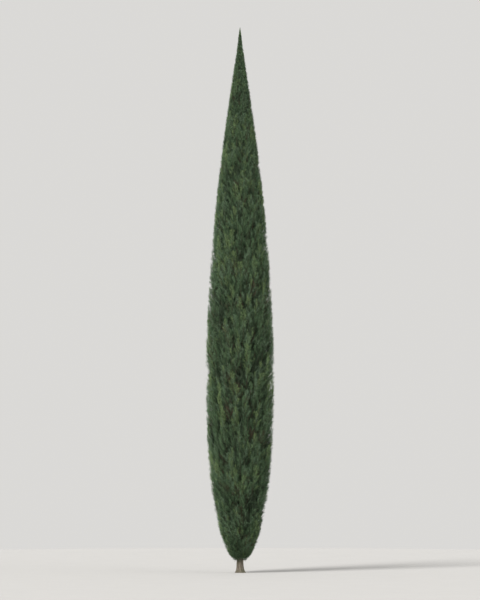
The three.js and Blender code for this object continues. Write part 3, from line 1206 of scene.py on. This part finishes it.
@dataclass
class Bough(Limb):
    """One bough, with a collar where it leaves the trunk and the bark's relief."""

    rule: GrowthRule
    mass: Mass
    relief: BarkRelief = BarkRelief(fissures=(6, 9), wander_rise=0.1, fibres=23, seed=31)
    sides: int = 16
    rows: int = 26
    bark_depth: float = 0.0022
    depth_at_radius: float = 0.03  # the bough's radius at which the bark is that deep
    collar: float = 0.55  # how much thicker a bough is where it leaves the trunk, as a share
    collar_fade: float = 0.05  # it falls to about a third in this distance
    start_in_trunk: float = 0.4  # as a share of the trunk's radius
    tip_cap: float = 0.4  # how far its end is rounded out, as a share of its radius

    def build(self, bark: Material) -> Piece:
        """Makes the bough.

        Args:
            bark: What it wears.

        Returns:
            The piece.
        """
        curve = self.rule.bough_curve(self.mass)
        trunk = float(self.rule.trunk.radius_at(curve.start[2]))
        share = np.linspace(0, 1, self.rows)
        first = np.argmax(run_of(curve.at(share)) > self.start_in_trunk * trunk)
        share = share[first:]
        centres, headings = curve.at(share), curve.heading(share)
        radius = self.rule.bough_radius(self.mass)
        clear = np.maximum(0, run_of(centres) - trunk)
        radii = mix(radius, radius * self.rule.bough_tip_share, share)
        radii = radii * (1 + self.collar * np.exp(-clear / self.collar_fade))
        turn = turns_round(self.sides) + self.mass.turn
        furrow = self.relief.depth(*np.meshgrid(turn, np.linalg.norm(centres - centres[0], axis=-1)))
        depth = self.bark_depth * radius / self.depth_at_radius * furrow
        points = ring_points(centres, headings, radii[:, None] - depth)
        ends = np.stack([centres[0], centres[-1] + headings[-1] * radii[-1] * self.tip_cap])
        return self.dress(f"bough_{self.mass.name}", points, ends, furrow, bark)


@dataclass(frozen=True)
class Plume:
    """A leafy twig of unit length: side shoots round a bending axis, with shorter shoots of their own.

    Every shoot is a slim leaf of two faces, folded along its middle, that is widest beyond its middle.
    Low values hold at the axis's foot and high ones at its end. A wobble of two numbers is the least and
    the most of a factor.
    """

    side_shoots: int = 7
    end_shoots: int = 3
    first_at: float = 0.02  # where the first side shoot is on the axis, and where the last
    last_at: float = 0.8
    low_angle: float = math.radians(36)  # off the axis
    high_angle: float = math.radians(20)
    low_length: float = 0.48
    high_length: float = 0.32
    branch_places: tuple[float, ...] = (0.22, 0.42, 0.6)  # on a side shoot
    branch_angle: float = math.radians(32)  # off the side shoot
    branch_length: float = 0.52  # as a share of the side shoot's
    width: float = 0.037
    branch_width: float = 0.031
    axis_width: float = 0.03
    axis_roll: float = 0.7  # how far the axis's own leaf is turned, in radians
    beside: Direction = (0.3, 0.2, 0.93)  # what a shoot's turn about itself is measured from
    widest_at: float = 0.58  # on a shoot, as a share of its length
    fold: float = 0.35  # how deep a shoot is folded, as a share of half its width
    bend: float = 0.14  # how steeply the bending axis starts
    end_spread: float = 0.16  # how far the end shoots lean out
    end_places: Span = (0.55, 0.74)  # where the first and the last of them start
    place_wobble: float = 0.3  # as a share of the step from one side shoot to the next
    turn_wobble: float = 0.4  # in radians, as the next one
    end_turn_wobble: float = 0.5
    branch_tilt: float = 0.6  # how far a shorter shoot leaves its side shoot's level
    angle_wobble: Span = (0.8, 1.2)
    length_wobble: Span = (0.8, 1.15)
    branch_angle_wobble: Span = (0.7, 1.3)
    branch_length_wobble: Span = (0.8, 1.2)

    def axis_point(self, share: float) -> Array:
        """Returns a point on the bending axis."""
        return np.array([self.bend * (share - share * share), share, 0.0])

    def shoot(self, base: Array, way: Array, length: float, width: float, roll: float) -> Array:
        """The four corners of one shoot.

        Args:
            base: Where it starts.
            way: Its direction.
            length: Its length.
            width: Its greatest width.
            roll: How far it is turned about its length.

        Returns:
            The base, one side, the tip and the other side.
        """
        side = unit(np.cross(way, self.beside))
        face = np.cross(way, side)
        across = side * math.cos(roll) + face * math.sin(roll)
        up = np.cross(way, across) * self.fold
        middle = base + way * length * self.widest_at
        edges = [middle + (sign * across + up) * width / 2 for sign in (1, -1)]
        return np.array([base, edges[0], base + way * length, edges[1]])

    def side_shoot(self, k: int, random: Random) -> list[Array]:
        """One side shoot with its own shorter shoots.

        Args:
            k: Which side shoot it is, from the foot.
            random: Where its irregularity comes from.

        Returns:
            The corners of each shoot.
        """
        step = (k + random.uniform(-self.place_wobble, self.place_wobble)) / (self.side_shoots - 1)
        share = max(0.0, mix(self.first_at, self.last_at, step))
        turn = GOLDEN_TURN * k + random.uniform(-self.turn_wobble, self.turn_wobble)
        angle = mix(self.low_angle, self.high_angle, share) * random.uniform(*self.angle_wobble)
        length = mix(self.low_length, self.high_length, share) * random.uniform(*self.length_wobble)
        away = np.array([math.cos(turn), 0.0, math.sin(turn)])
        way = math.cos(angle) * np.array([0.0, 1.0, 0.0]) + math.sin(angle) * away
        base = self.axis_point(share)
        made = [self.shoot(base, way, length, self.width, random.uniform(0, FULL_TURN))]
        level = unit(np.cross(way, away))
        for j, spot in enumerate(self.branch_places):
            hand = 1 if (j + k) % 2 else -1
            turned = self.branch_angle * random.uniform(*self.branch_angle_wobble)
            off = unit(level * hand + away * random.uniform(-self.branch_tilt, self.branch_tilt))
            branch_way = unit(math.cos(turned) * way + math.sin(turned) * off)
            reach = length * self.branch_length * random.uniform(*self.branch_length_wobble)
            start = base + way * length * spot
            roll = random.uniform(0, FULL_TURN)
            made.append(self.shoot(start, branch_way, reach, self.branch_width, roll))
        return made

    def corners(self, random: Random) -> Array:
        """Builds one plume.

        Args:
            random: Where its irregularity comes from.

        Returns:
            The corners of all its shoots, four for each.
        """
        along = self.axis_point(1.0) - self.axis_point(0.0)
        made = [self.shoot(self.axis_point(0.0), along, 1.0, self.axis_width, self.axis_roll)]
        for k in range(self.side_shoots):
            made += self.side_shoot(k, random)
        for k in range(self.end_shoots):
            share = mix(*self.end_places, k / max(1, self.end_shoots - 1))
            turn = FULL_TURN * (k / self.end_shoots)
            turn += random.uniform(-self.end_turn_wobble, self.end_turn_wobble)
            across, up = self.end_spread * math.cos(turn), self.end_spread * math.sin(turn)
            way = unit(np.array([across, 1.0, up]))
            roll = random.uniform(0, FULL_TURN)
            made.append(self.shoot(self.axis_point(share), way, 1 - share, self.width, roll))
        return np.concatenate(made)

    @staticmethod
    def faces(corner_count: int) -> Array:
        """Returns the triangles of shoots whose corners come four by four."""
        leaf = np.array([[0, 1, 2], [0, 2, 3]])
        return (np.arange(0, corner_count, 4)[:, None, None] + leaf).reshape(-1, 3)


class PlumeShapes:
    """The plumes' shapes to pick from: leafy ones, and plain ones with larger leaves for the shade."""

    SEED = 77
    EACH = 8
    LEAFY = Plume()
    SHADED = Plume(
        side_shoots=23, branch_places=(), width=0.052, low_length=0.62, high_length=0.42, last_at=0.7,
        axis_width=0.05, bend=0.2,
    )

    def __init__(self) -> None:
        """Grows the shapes."""
        random = np.random.default_rng(self.SEED)
        self.leafy = [self.LEAFY.corners(random) for _ in range(self.EACH)]
        self.shaded = [self.SHADED.corners(random) for _ in range(self.EACH)]


@dataclass(frozen=True)
class Plumes(Rows):
    """Plumes to be set, row by row: base, frame of three directions, length and place in the spray."""

    base: Array
    frame: Array
    length: Array
    share: Array
    row: Array

    def points(self, rows: Array, shape: Array) -> Array:
        """Returns a shape's corners set at each of these rows."""
        scaled = shape[None] * self.length[rows, None, None]
        return np.einsum("nki,nij->nkj", scaled, self.frame[rows]) + self.base[rows, None]

    def tips(self) -> Array:
        """Returns where the plumes end."""
        return self.base + self.frame[:, 1] * self.length[:, None]


@dataclass(frozen=True)
class CrownLimits:
    """How far leaves may stand out of the crown's outline, and how sprays give way where it is slim."""

    crown: CrownShape
    reach: float = 1.045  # where the crown is wide, as a share of its radius
    slack: float = 0.003  # and this much more everywhere
    free_radius: Span = (0.1, 0.5)  # the reach grows between these radii of the crown
    most_excess: float = 0.09  # a plume that stands out further is left out
    lowest: float = 0.205  # no leaf is lower
    even_below: float = 0.28  # the outline counts as upright under this height
    slim_radius: Span = (0.08, 0.3)  # the crown's radii where sprays have moved in, and where they start to
    slim_reach: float = 0.76  # how far out they stay, as a share of their distance from the axis

    def excess(self, points: Array) -> Array:
        """How far points stand out of the crown's outline, over the little that is allowed there.

        Args:
            points: The points.

        Returns:
            A distance for each, which is negative inside.
        """
        outline = self.crown.outline(np.maximum(points[..., 2], self.even_below))
        allowed = mix(1.0, self.reach, smooth_step(outline, *self.free_radius))
        return run_of(points) - outline * allowed - self.slack

    def held_in(self, points: Array) -> Array:
        """Draws points in to the crown's outline where they would stand out of it.

        Args:
            points: The points.

        Returns:
            The points, moved where they have to be.
        """
        held = points.copy()
        held[..., 2] = np.clip(held[..., 2], self.lowest, self.crown.height)
        scale = 1 - np.clip(self.excess(held) / np.maximum(run_of(held), TINY), 0, 1)
        held[..., :2] *= scale[..., None]
        return held

    def settled(self, points: Array) -> tuple[Array, Array]:
        """Moves whole plumes in to the outline, and picks out those that stand too far out of it.

        Args:
            points: The corners of each plume.

        Returns:
            The moved corners, and whether each plume is kept.
        """
        excess = np.max(self.excess(points), axis=1)
        kept = (excess < self.most_excess) & (np.min(points[..., 2], axis=1) > self.lowest)
        middle = np.mean(points[..., :2], axis=1)
        run = run_of(middle)
        pull = np.clip(excess, 0, run) / np.maximum(run, TINY)
        moved = points.copy()
        moved[..., :2] -= (middle * pull[:, None])[:, None]
        return self.held_in(moved), kept

    def slim_share(self, height: Array) -> Array:
        """Returns how far in sprays move at heights where the crown is slim, to make room for leaves."""
        return mix(self.slim_reach, 1.0, smooth_step(self.crown.outline(height), *self.slim_radius))

    def drawn_in(self, points: Array) -> Array:
        """Returns points moved in where the crown is slim."""
        return inward(points, self.slim_share(points[:, 2]))


@dataclass(frozen=True)
class PlumeRule:
    """How plumes are set along a spray. Low values hold at its root and high ones at its end."""

    least: float = 2.0  # on any spray, before those for its length
    first_at: float = 0.06  # where the first plume is, as a share of the spray
    spacing: float = 0.78  # the share of the spray that they are spread over
    last_at: float = 0.8  # no plume is further along, but for the one at the end
    end_least: float = 0.3  # the plume at a spray's end starts no lower than this
    low_length: float = 0.19
    high_length: float = 0.14
    most_share: float = 0.6  # of the spray's length
    low_angle: float = math.radians(30)  # off the spray
    high_angle: float = math.radians(12)
    outward_share: float = 0.65  # how deep the rounds of plumes are, as a share of their width
    place_wobble: float = 0.25  # as a share of the step from one plume to the next
    length_wobble: Span = (0.85, 1.15)
    angle_wobble: Span = (0.75, 1.2)

    def plumes(self, curves: Bend, sprays: Sprays, density: float, random: Random) -> Plumes:
        """Sets plumes along sprays, round by round, with one at each spray's end.

        Args:
            curves: The sprays' middle lines.
            sprays: The sprays.
            density: How many plumes there are to a metre of spray.
            random: Where their irregularity comes from.

        Returns:
            The plumes.
        """
        counts = np.round(self.least + sprays.length * density).astype(int)
        row = np.repeat(np.arange(len(counts)), counts)
        rank = np.arange(len(row)) - np.repeat(np.cumsum(counts) - counts, counts)
        last = rank == counts[row] - 1
        wobble = random.uniform(-self.place_wobble, self.place_wobble, len(row))
        share = self.first_at + self.spacing * (rank + wobble) / (counts[row] - 1)
        share = np.clip(share, 0, self.last_at)
        length = mix(self.low_length, self.high_length, share)
        length = length * random.uniform(*self.length_wobble, len(row))
        length = np.minimum(length, self.most_share * sprays.length[row])
        reach = np.linalg.norm(curves.end - curves.start, axis=-1)[row]
        share[last] = np.maximum(self.end_least, 1 - length[last] / reach[last])
        bends = curves.picked(row)
        base, heading = bends.at(share), bends.heading(share)
        side = unit(sprays.side[row] - heading * np.sum(sprays.side[row] * heading, -1, keepdims=True))
        other = np.cross(side, heading)
        turn = rank * GOLDEN_TURN + random.uniform(0, FULL_TURN, len(counts))[row]
        away = unit(np.cos(turn)[:, None] * side + self.outward_share * np.sin(turn)[:, None] * other)
        angle = mix(self.low_angle, self.high_angle, share)
        angle = angle * random.uniform(*self.angle_wobble, len(row))
        angle[last] = 0
        along = np.cos(angle)[:, None] * heading + np.sin(angle)[:, None] * away
        outer = np.cos(angle)[:, None] * away - np.sin(angle)[:, None] * heading
        frame = np.stack([outer, along, np.cross(outer, along)], axis=1)
        return Plumes(base, frame, length, share, row)


@dataclass(frozen=True)
class ShadeRule:
    """How the greens are dealt out: by spray, a little by plume, and darker further in as painted shade."""

    crown: CrownShape
    middle: float = 2.5  # the middle green, counted from the darkest
    spray_spread: float = 1.0
    plume_spread: float = 0.5
    rise: float = 1.2  # how much lighter a spray's end is than its root
    even_at: float = 0.45  # where on a spray its green is neither
    darkening: float = 9.0  # painted shade, in greens, for a whole radius further in
    darkest_at: float = 0.3  # as a share of the radius, and further in it is as dark
    least_radius: float = 0.02
    withered_share: float = 0.15  # of the shaded plumes

    def greens(self, plumes: Plumes, fresh: float, random: Random) -> Array:
        """Picks the leafy plumes' greens.

        Args:
            plumes: The plumes.
            fresh: How far the sprays lean to the lighter greens, for fresher growth and as painted light;
                below 0 it paints shade.
            random: Where the choice comes from.

        Returns:
            The number of each plume's shade.
        """
        order = [Shade.DEEP, Shade.DARK, Shade.PLAIN, Shade.GREY, Shade.OLIVE, Shade.FRESH]
        by_spray = random.normal(self.middle + fresh, self.spray_spread, plumes.row.max() + 1)[plumes.row]
        by_plume = random.normal(0, self.plume_spread, len(plumes.row))
        tips = plumes.tips()
        depth = 1 - run_of(tips) / np.maximum(self.crown.outline(tips[:, 2]), self.least_radius)
        tone = by_spray + by_plume + self.rise * (plumes.share - self.even_at)
        # Painted shade: plumes further in take darker greens
        tone = tone - self.darkening * depth.clip(0, self.darkest_at)
        picked = np.clip(np.round(tone), 0, len(order) - 1).astype(int)
        return np.array([shade.number for shade in order])[picked]

    def dull(self, count: int, random: Random) -> Array:
        """Returns the numbers of the shaded plumes' shades, some of them withered."""
        withered = random.random(count) < self.withered_share
        return np.where(withered, Shade.WITHERED.number, Shade.SHADED.number)


@dataclass(frozen=True)
class TwigRule:
    """How twigs run from the wood to the sprays: from a mass's stem, or low down from the trunk."""

    rule: GrowthRule
    sides: int = 3
    places: Span = (0.45, 0.85)  # where a twig's last two rings are on its spray
    radii: tuple[float, ...] = (1.0, 0.8, 0.62, 0.42, 0.2)  # of its rings, as shares of the first
    halfway: float = 0.55  # where its second ring is on its way to the spray
    sag: float = 0.02  # how far that ring hangs down
    stem_rings: int = 12
    stem_sides: int = 7
    on_stem: Span = (0.05, 0.95)  # twigs leave the stem between these
    below_stem: float = -0.1  # a twig that would leave it lower than this leaves the trunk
    trunk_rise: float = 1.3  # how far such a twig climbs, to a metre of its way out
    trunk_lowest: float = 0.27  # it starts no lower than this
    lowest_rise: float = 0.3  # and higher by this share of its spray's height
    into_trunk: float = 0.6  # where it starts inside, as a share of the trunk's radius

    def starts(self, mass: Mass, roots: Array) -> Array:
        """Where the twigs leave the wood.

        Args:
            mass: The mass that they belong to.
            roots: The feet of the sprays.

        Returns:
            One point for each, on the mass's stem, or on the trunk for a spray too low for the stem.
        """
        stem = self.rule.stem_curve(mass)
        off = run_of(roots - stem.start)
        share = (roots[:, 2] - off - stem.start[2]) / (stem.end[2] - stem.start[2])
        lowest = self.trunk_lowest + self.lowest_rise * roots[:, 2]
        height = np.maximum(roots[:, 2] - self.trunk_rise * run_of(roots), lowest)
        turn = np.arctan2(roots[:, 1], roots[:, 0])
        from_trunk = place(turn, self.into_trunk * self.rule.trunk.radius_at(height), height)
        from_stem = stem.at(np.clip(share, *self.on_stem))
        return np.where((share < self.below_stem)[:, None], from_trunk, from_stem)

    def add(self, parts: MeshParts, mass: Mass, curves: Bend, radius: float) -> None:
        """Adds the twigs that carry sprays, from the wood to near each spray's end.

        Args:
            parts: The piece of twigs.
            mass: The mass that they belong to.
            curves: The sprays' middle lines.
            radius: A twig's radius where it leaves the wood.
        """
        start = self.starts(mass, curves.start)
        halfway = mix(start, curves.start, self.halfway) - [0, 0, self.sag]
        on_spray = [curves.at(np.full(len(start), share)) for share in self.places]
        centres = np.stack([start, halfway, curves.start, *on_spray], axis=1)
        radii = np.broadcast_to(np.array(self.radii) * radius, centres.shape[:2])
        add_tubes(parts, centres, radii, self.sides)

    def add_stem(self, parts: MeshParts, mass: Mass) -> None:
        """Adds a mass's stem.

        Args:
            parts: The piece of twigs.
            mass: The mass.
        """
        share = np.linspace(0, 1, self.stem_rings)
        radii = self.rule.stem_radius(mass) * mix(1.0, self.rule.stem_tip_share, share)
        add_tubes(parts, self.rule.stem_curve(mass).at(share)[None], radii[None], self.stem_sides)


@dataclass(frozen=True)
class Skirt:
    """The short sprays that fan out from the trunk and round off the crown's foot."""

    count: int = 18
    heights: Span = (0.28, 0.52)  # of the tips
    reach: float = 0.92  # of the tips, as a share of the outline's radius
    foot: float = 0.27  # where the lowest of them leaves the trunk
    climb: float = 0.35  # how much higher it leaves for each metre that its tip is higher

    def sprays(self, rule: GrowthRule, mass: Mass) -> Sprays:
        """The sprays under one mass of the lowest tier.

        Args:
            rule: The crown's rule.
            mass: The mass.

        Returns:
            The sprays.
        """
        rank = np.arange(self.count)
        across = 2 * ((rank * rule.even_steps[0]) % 1) - 1
        turn = mass.turn + across * math.pi / rule.per_tier
        height = mix(*self.heights, (rank * rule.even_steps[1]) % 1)
        tip = place(turn, self.reach * rule.crown.outline(height), height)
        root = place(turn, rule.trunk.radius, self.foot + self.climb * (height - self.heights[0]))
        length = np.linalg.norm(tip - root, axis=1)
        along = (tip - root) / length[:, None]
        return Sprays(root, tip, along, unit(np.cross(along, [0.0, 0.0, 1.0])), length)


@dataclass(frozen=True)
class Leaders:
    """The upright sprays at the crown's very tip, each lower and a little further out."""

    count: int = 26
    length: float = 0.42
    step: float = 0.045  # from one tip down to the next
    reach: float = 0.7  # as a share of the outline's radius
    beside: Direction = (0.1, 0.9, 0.2)  # no spray runs along this

    def sprays(self, crown: CrownShape) -> Sprays:
        """Places the sprays.

        Args:
            crown: The crown's shape.

        Returns:
            The sprays.
        """
        turn = np.arange(self.count) * GOLDEN_TURN
        height = crown.height - self.step * np.arange(self.count)
        tip = place(turn, self.reach * crown.outline(height), height)
        lean = crown.lean(height - self.length)
        along = leaning(turn, lean)
        side = unit(np.cross(along, self.beside))
        return Sprays(tip - along * self.length, tip, along, side, np.full(self.count, self.length))


@dataclass(frozen=True)
class SprayLook:
    """How a kind of spray is dressed: plumes to a metre, how light a green, partly painted light and shade,
    and its twigs' radius.
    """

    density: float
    fresh: float
    twig_radius: float


@dataclass
class Foliage:
    """The masses of foliage: leafy plumes on twigs, with shaded plumes behind them."""

    rule: GrowthRule
    shapes: PlumeShapes
    palette: Palette
    main: SprayRule = SprayRule(9000, count=13, tip_count=22, tries=300, apart=0.32)
    finer: SprayRule = SprayRule(
        21000, count=38, tip_count=180, tries=2400, apart=0.31, length_share=0.66, reach=0.99,
        reach_wobble=0.05, stand_off=math.radians(12), loose=True,
    )
    shaded: SprayRule = SprayRule(
        33000, count=95, tip_count=260, tries=2600, apart=0.17, length_share=0.62, reach=0.88,
        reach_wobble=0.28, stand_off=math.radians(8), loose=True,
    )
    # The sprays that stand out and the leaders at the top take lighter greens, the finer sprays sunk
    # between tufts and the skirt at the foot darker ones: partly fresh growth, partly painted light and
    # shade
    main_look: SprayLook = SprayLook(density=18.0, fresh=0.5, twig_radius=0.006)
    finer_look: SprayLook = SprayLook(density=10.2, fresh=-0.1, twig_radius=0.004)
    leader_look: SprayLook = SprayLook(density=18.0, fresh=0.3, twig_radius=0.003)
    skirt_look: SprayLook = SprayLook(density=18.0, fresh=-0.3, twig_radius=0.003)
    plume_rule: PlumeRule = PlumeRule()
    lean_below: float = 0.1  # the outline's lean is taken this far under a spray's tip
    knee_back: float = 0.5  # where a spray bends, as a share of its length back from the tip
    appressed: float = math.radians(3)  # how far its end leans out from the outline
    recess: float = 0.2  # how far in sprays between tufts sink, as a share of their distance from the axis
    tuft_reach: Span = (0.22, 0.65)  # where that starts and is whole, in spray lengths from a tuft
    tuft_places: tuple[float, ...] = (0.4, 0.6, 0.8, 1.0)  # where the tufts are on the main sprays
    limits: CrownLimits = field(init=False)
    shade_rule: ShadeRule = field(init=False)
    twig_rule: TwigRule = field(init=False)

    def __post_init__(self) -> None:
        """Sets up the rules that follow the crown's shape."""
        self.limits = CrownLimits(self.rule.crown)
        self.shade_rule = ShadeRule(self.rule.crown)
        self.twig_rule = TwigRule(self.rule)

    def curves(self, sprays: Sprays) -> Bend:
        """The sprays' middle lines.

        Args:
            sprays: The sprays.

        Returns:
            Curves that start as the sprays lean and end close along the outline.
        """
        turn = np.arctan2(sprays.tip[:, 1], sprays.tip[:, 0])
        lean = self.rule.crown.lean(sprays.tip[:, 2] - self.lean_below) + self.appressed
        way = leaning(turn, lean)
        knee = sprays.tip - way * sprays.length[:, None] * self.knee_back
        return Bend(*[self.limits.drawn_in(points) for points in (sprays.root, knee, sprays.tip)])

    def gathered(self, sprays: Sprays, main: Bend) -> Sprays:
        """Sinks sprays that are far from the main ones, so that the crown shows as upright tufts.

        Args:
            sprays: The finer sprays.
            main: The main sprays' middle lines.

        Returns:
            The finer sprays, moved in where they lie between tufts.
        """
        count = len(main.start)
        spots = np.concatenate([main.at(np.full(count, share)) for share in self.tuft_places])
        away = np.min(np.linalg.norm(sprays.tip[:, None] - spots[None], axis=-1), axis=1)
        return sprays.drawn_in(1 - self.recess * smooth_step(away / sprays.length, *self.tuft_reach))

    def add_plumes(
        self, parts: MeshParts, plumes: Plumes, shades: Array, shapes: list[Array], random: Random
    ) -> None:
        """Adds every plume's shoots to a piece.

        Args:
            parts: The piece.
            plumes: The plumes.
            shades: Each plume's shade.
            shapes: The plumes' shapes to choose from.
            random: Picks which shape each plume has.
        """
        picks = random.integers(0, len(shapes), len(shades))
        for i, shape in enumerate(shapes):
            rows = np.flatnonzero(picks == i)
            if not len(rows):
                continue
            points, kept = self.limits.settled(plumes.points(rows, shape))
            faces = Plume.faces(len(shape))
            shift = np.arange(np.count_nonzero(kept))[:, None, None] * len(shape)
            parts.add(points[kept], faces + shift, np.repeat(shades[rows[kept]], len(faces)))

    def add_shaded(self, parts: MeshParts, mass: Mass, space: MassSpace, random: Random) -> None:
        """Adds the dull plumes behind the outer ones, which close the crown to the eye.

        Args:
            parts: The piece.
            mass: The mass.
            space: The mass's own space.
            random: Where their shades and shapes come from.
        """
        sprays = self.rule.sprays_of(mass, space, self.shaded, np.zeros((0, 3)))
        sprays = sprays.drawn_in(self.limits.slim_share(sprays.tip[:, 2]))
        frame = np.stack([sprays.side, sprays.along, np.cross(sprays.side, sprays.along)], axis=1)
        count = len(sprays.length)
        plumes = Plumes(sprays.root, frame, sprays.length, np.ones(count), np.arange(count))
        self.add_plumes(parts, plumes, self.shade_rule.dull(count, random), self.shapes.shaded, random)

    def leafy_sprays(self, mass: Mass, space: MassSpace) -> list[tuple[Sprays, SprayLook]]:
        """Grows the sprays that show.

        Args:
            mass: The mass that bears them.
            space: The mass's own space.

        Returns:
            Each kind of spray with its look.
        """
        main = self.rule.sprays_of(mass, space, self.main, np.zeros((0, 3)))
        finer = self.rule.sprays_of(mass, space, self.finer, main.tip)
        found = [(main, self.main_look), (self.gathered(finer, self.curves(main)), self.finer_look)]
        if mass.is_tip:
            found.append((Leaders().sprays(self.rule.crown), self.leader_look))
        if mass.tier == 1:
            found.append((Skirt().sprays(self.rule, mass), self.skirt_look))
        return found

    def build(self, mass: Mass, space: MassSpace) -> list[Piece]:
        """Makes a mass's foliage and its twigs.

        Args:
            mass: The mass.
            space: The mass's own space.

        Returns:
            The piece of leaves and the piece of twigs.
        """
        leaves, twigs = MeshParts(), MeshParts()
        random = np.random.default_rng([self.shapes.SEED, mass.number])
        self.twig_rule.add_stem(twigs, mass)
        self.add_shaded(leaves, mass, space, random)
        for sprays, look in self.leafy_sprays(mass, space):
            curves = self.curves(sprays)
            plumes = self.plume_rule.plumes(curves, sprays, look.density, random)
            lower_end = np.minimum(plumes.base[:, 2], plumes.tips()[:, 2])
            plumes = plumes.picked(lower_end > self.limits.lowest)
            greens = self.shade_rule.greens(plumes, look.fresh, random)
            self.add_plumes(leaves, plumes, greens, self.shapes.leafy, random)
            self.twig_rule.add(twigs, mass, curves, look.twig_radius)
        node = f"foliage_{mass.name}"
        return [
            leaves.dress(f"leaves_{mass.name}", node, Slot.FOLIAGE, self.palette.leaves),
            twigs.dress(f"twigs_{mass.name}", node, Slot.BARK, self.palette.twigs),
        ]


@dataclass(frozen=True)
class Lamp:
    """One broad, soft lamp far away: where it stands, in degrees, how strong and how soft it is."""

    name: str
    turn: float
    rise: float
    strength: float
    softness: float
    colour: Colour = (1.0, 0.985, 0.96)

    def build(self) -> None:
        """Makes the lamp."""
        lamp = bpy.data.lights.new(self.name, "SUN")
        lamp.energy = self.strength
        lamp.angle = math.radians(self.softness)
        lamp.color = self.colour
        rise = math.radians(self.rise)
        toward = Vector(place(math.radians(self.turn), math.cos(rise), math.sin(rise)))
        holder = new_object(self.name, lamp)
        holder.rotation_mode = "QUATERNION"
        holder.rotation_quaternion = toward.to_track_quat("Z", "Y")


@dataclass(frozen=True)
class Stage:
    """The pale floor and surroundings, the soft light and the level camera far in front."""

    crown: CrownShape
    floor_radius: float = 16.0
    floor_depth: float = 0.02
    floor_sides: int = 96
    floor_finish: FloorFinish = FloorFinish()
    sky_colour: Colour = (0.80, 0.79, 0.77)
    sky_strength: float = 0.88
    lamps: tuple[Lamp, ...] = (
        Lamp("key light", turn=228, rise=44, strength=3.4, softness=20),
        Lamp("fill light", turn=335, rise=25, strength=0.7, softness=60),
    )
    camera_distance: float = 160.0
    frame_height: float = 13.2  # what the picture takes in at the tree
    sensor: float = 36.0
    farthest: float = 1000.0

    def build_floor(self) -> None:
        """Makes the floor, a thin round slab with its top at the ground."""
        levels = np.array([-self.floor_depth, 0.0])
        rings = place(turns_round(self.floor_sides), self.floor_radius, levels[:, None])
        parts = MeshParts()
        points = np.concatenate([rings.reshape(-1, 3), place(0.0, 0.0, levels)])
        parts.add(points, tube_faces(len(levels), self.floor_sides), 0)
        floor = parts.build("floor", [self.floor_finish.material()])
        floor.data.shade_flat()

    def build_sky(self) -> None:
        """Makes the pale surroundings."""
        world = bpy.data.worlds.new("pale studio")
        bpy.context.scene.world = world
        world.use_nodes = True
        background = world.node_tree.nodes["Background"]
        background.inputs["Color"].default_value = (*self.sky_colour, 1)
        background.inputs["Strength"].default_value = self.sky_strength

    def build_camera(self) -> None:
        """Makes the camera, level with the tree's middle, as the drawing sees it from far off."""
        data = bpy.data.cameras.new("camera")
        data.sensor_width = self.sensor
        data.lens = self.sensor * self.camera_distance / self.frame_height
        data.clip_end = self.farthest
        camera = new_object("camera", data)
        camera.location = (0, -self.camera_distance, self.crown.height / 2)
        camera.rotation_euler = (math.pi / 2, 0, 0)
        bpy.context.scene.camera = camera

    def build(self) -> None:
        """Makes the camera, the floor and the light."""
        bpy.context.scene.view_settings.view_transform = "Standard"
        self.build_camera()
        self.build_floor()
        self.build_sky()
        for lamp in self.lamps:
            lamp.build()


def main() -> None:
    """Builds the tree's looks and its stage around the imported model."""
    logging.basicConfig(level=logging.INFO, format="%(message)s")
    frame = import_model()
    LOG.info("the model has %d nodes", len(frame["nodes"]))
    rule = GrowthRule()
    masses = rule.masses()
    palette = Palette()
    foliage = Foliage(rule, PlumeShapes(), palette)
    Stage(rule.crown).build()
    pieces = [Trunk(rule.trunk).build(palette.trunk)]
    for mass in masses:
        if not mass.is_tip:
            pieces.append(Bough(rule, mass).build(palette.bough))
        pieces += foliage.build(mass, rule.space_of(mass, masses))
    for piece in pieces:
        LOG.info("%s: %d triangles", piece.name, len(piece.data.polygons))
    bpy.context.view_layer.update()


if __name__ == "__main__":
    main()
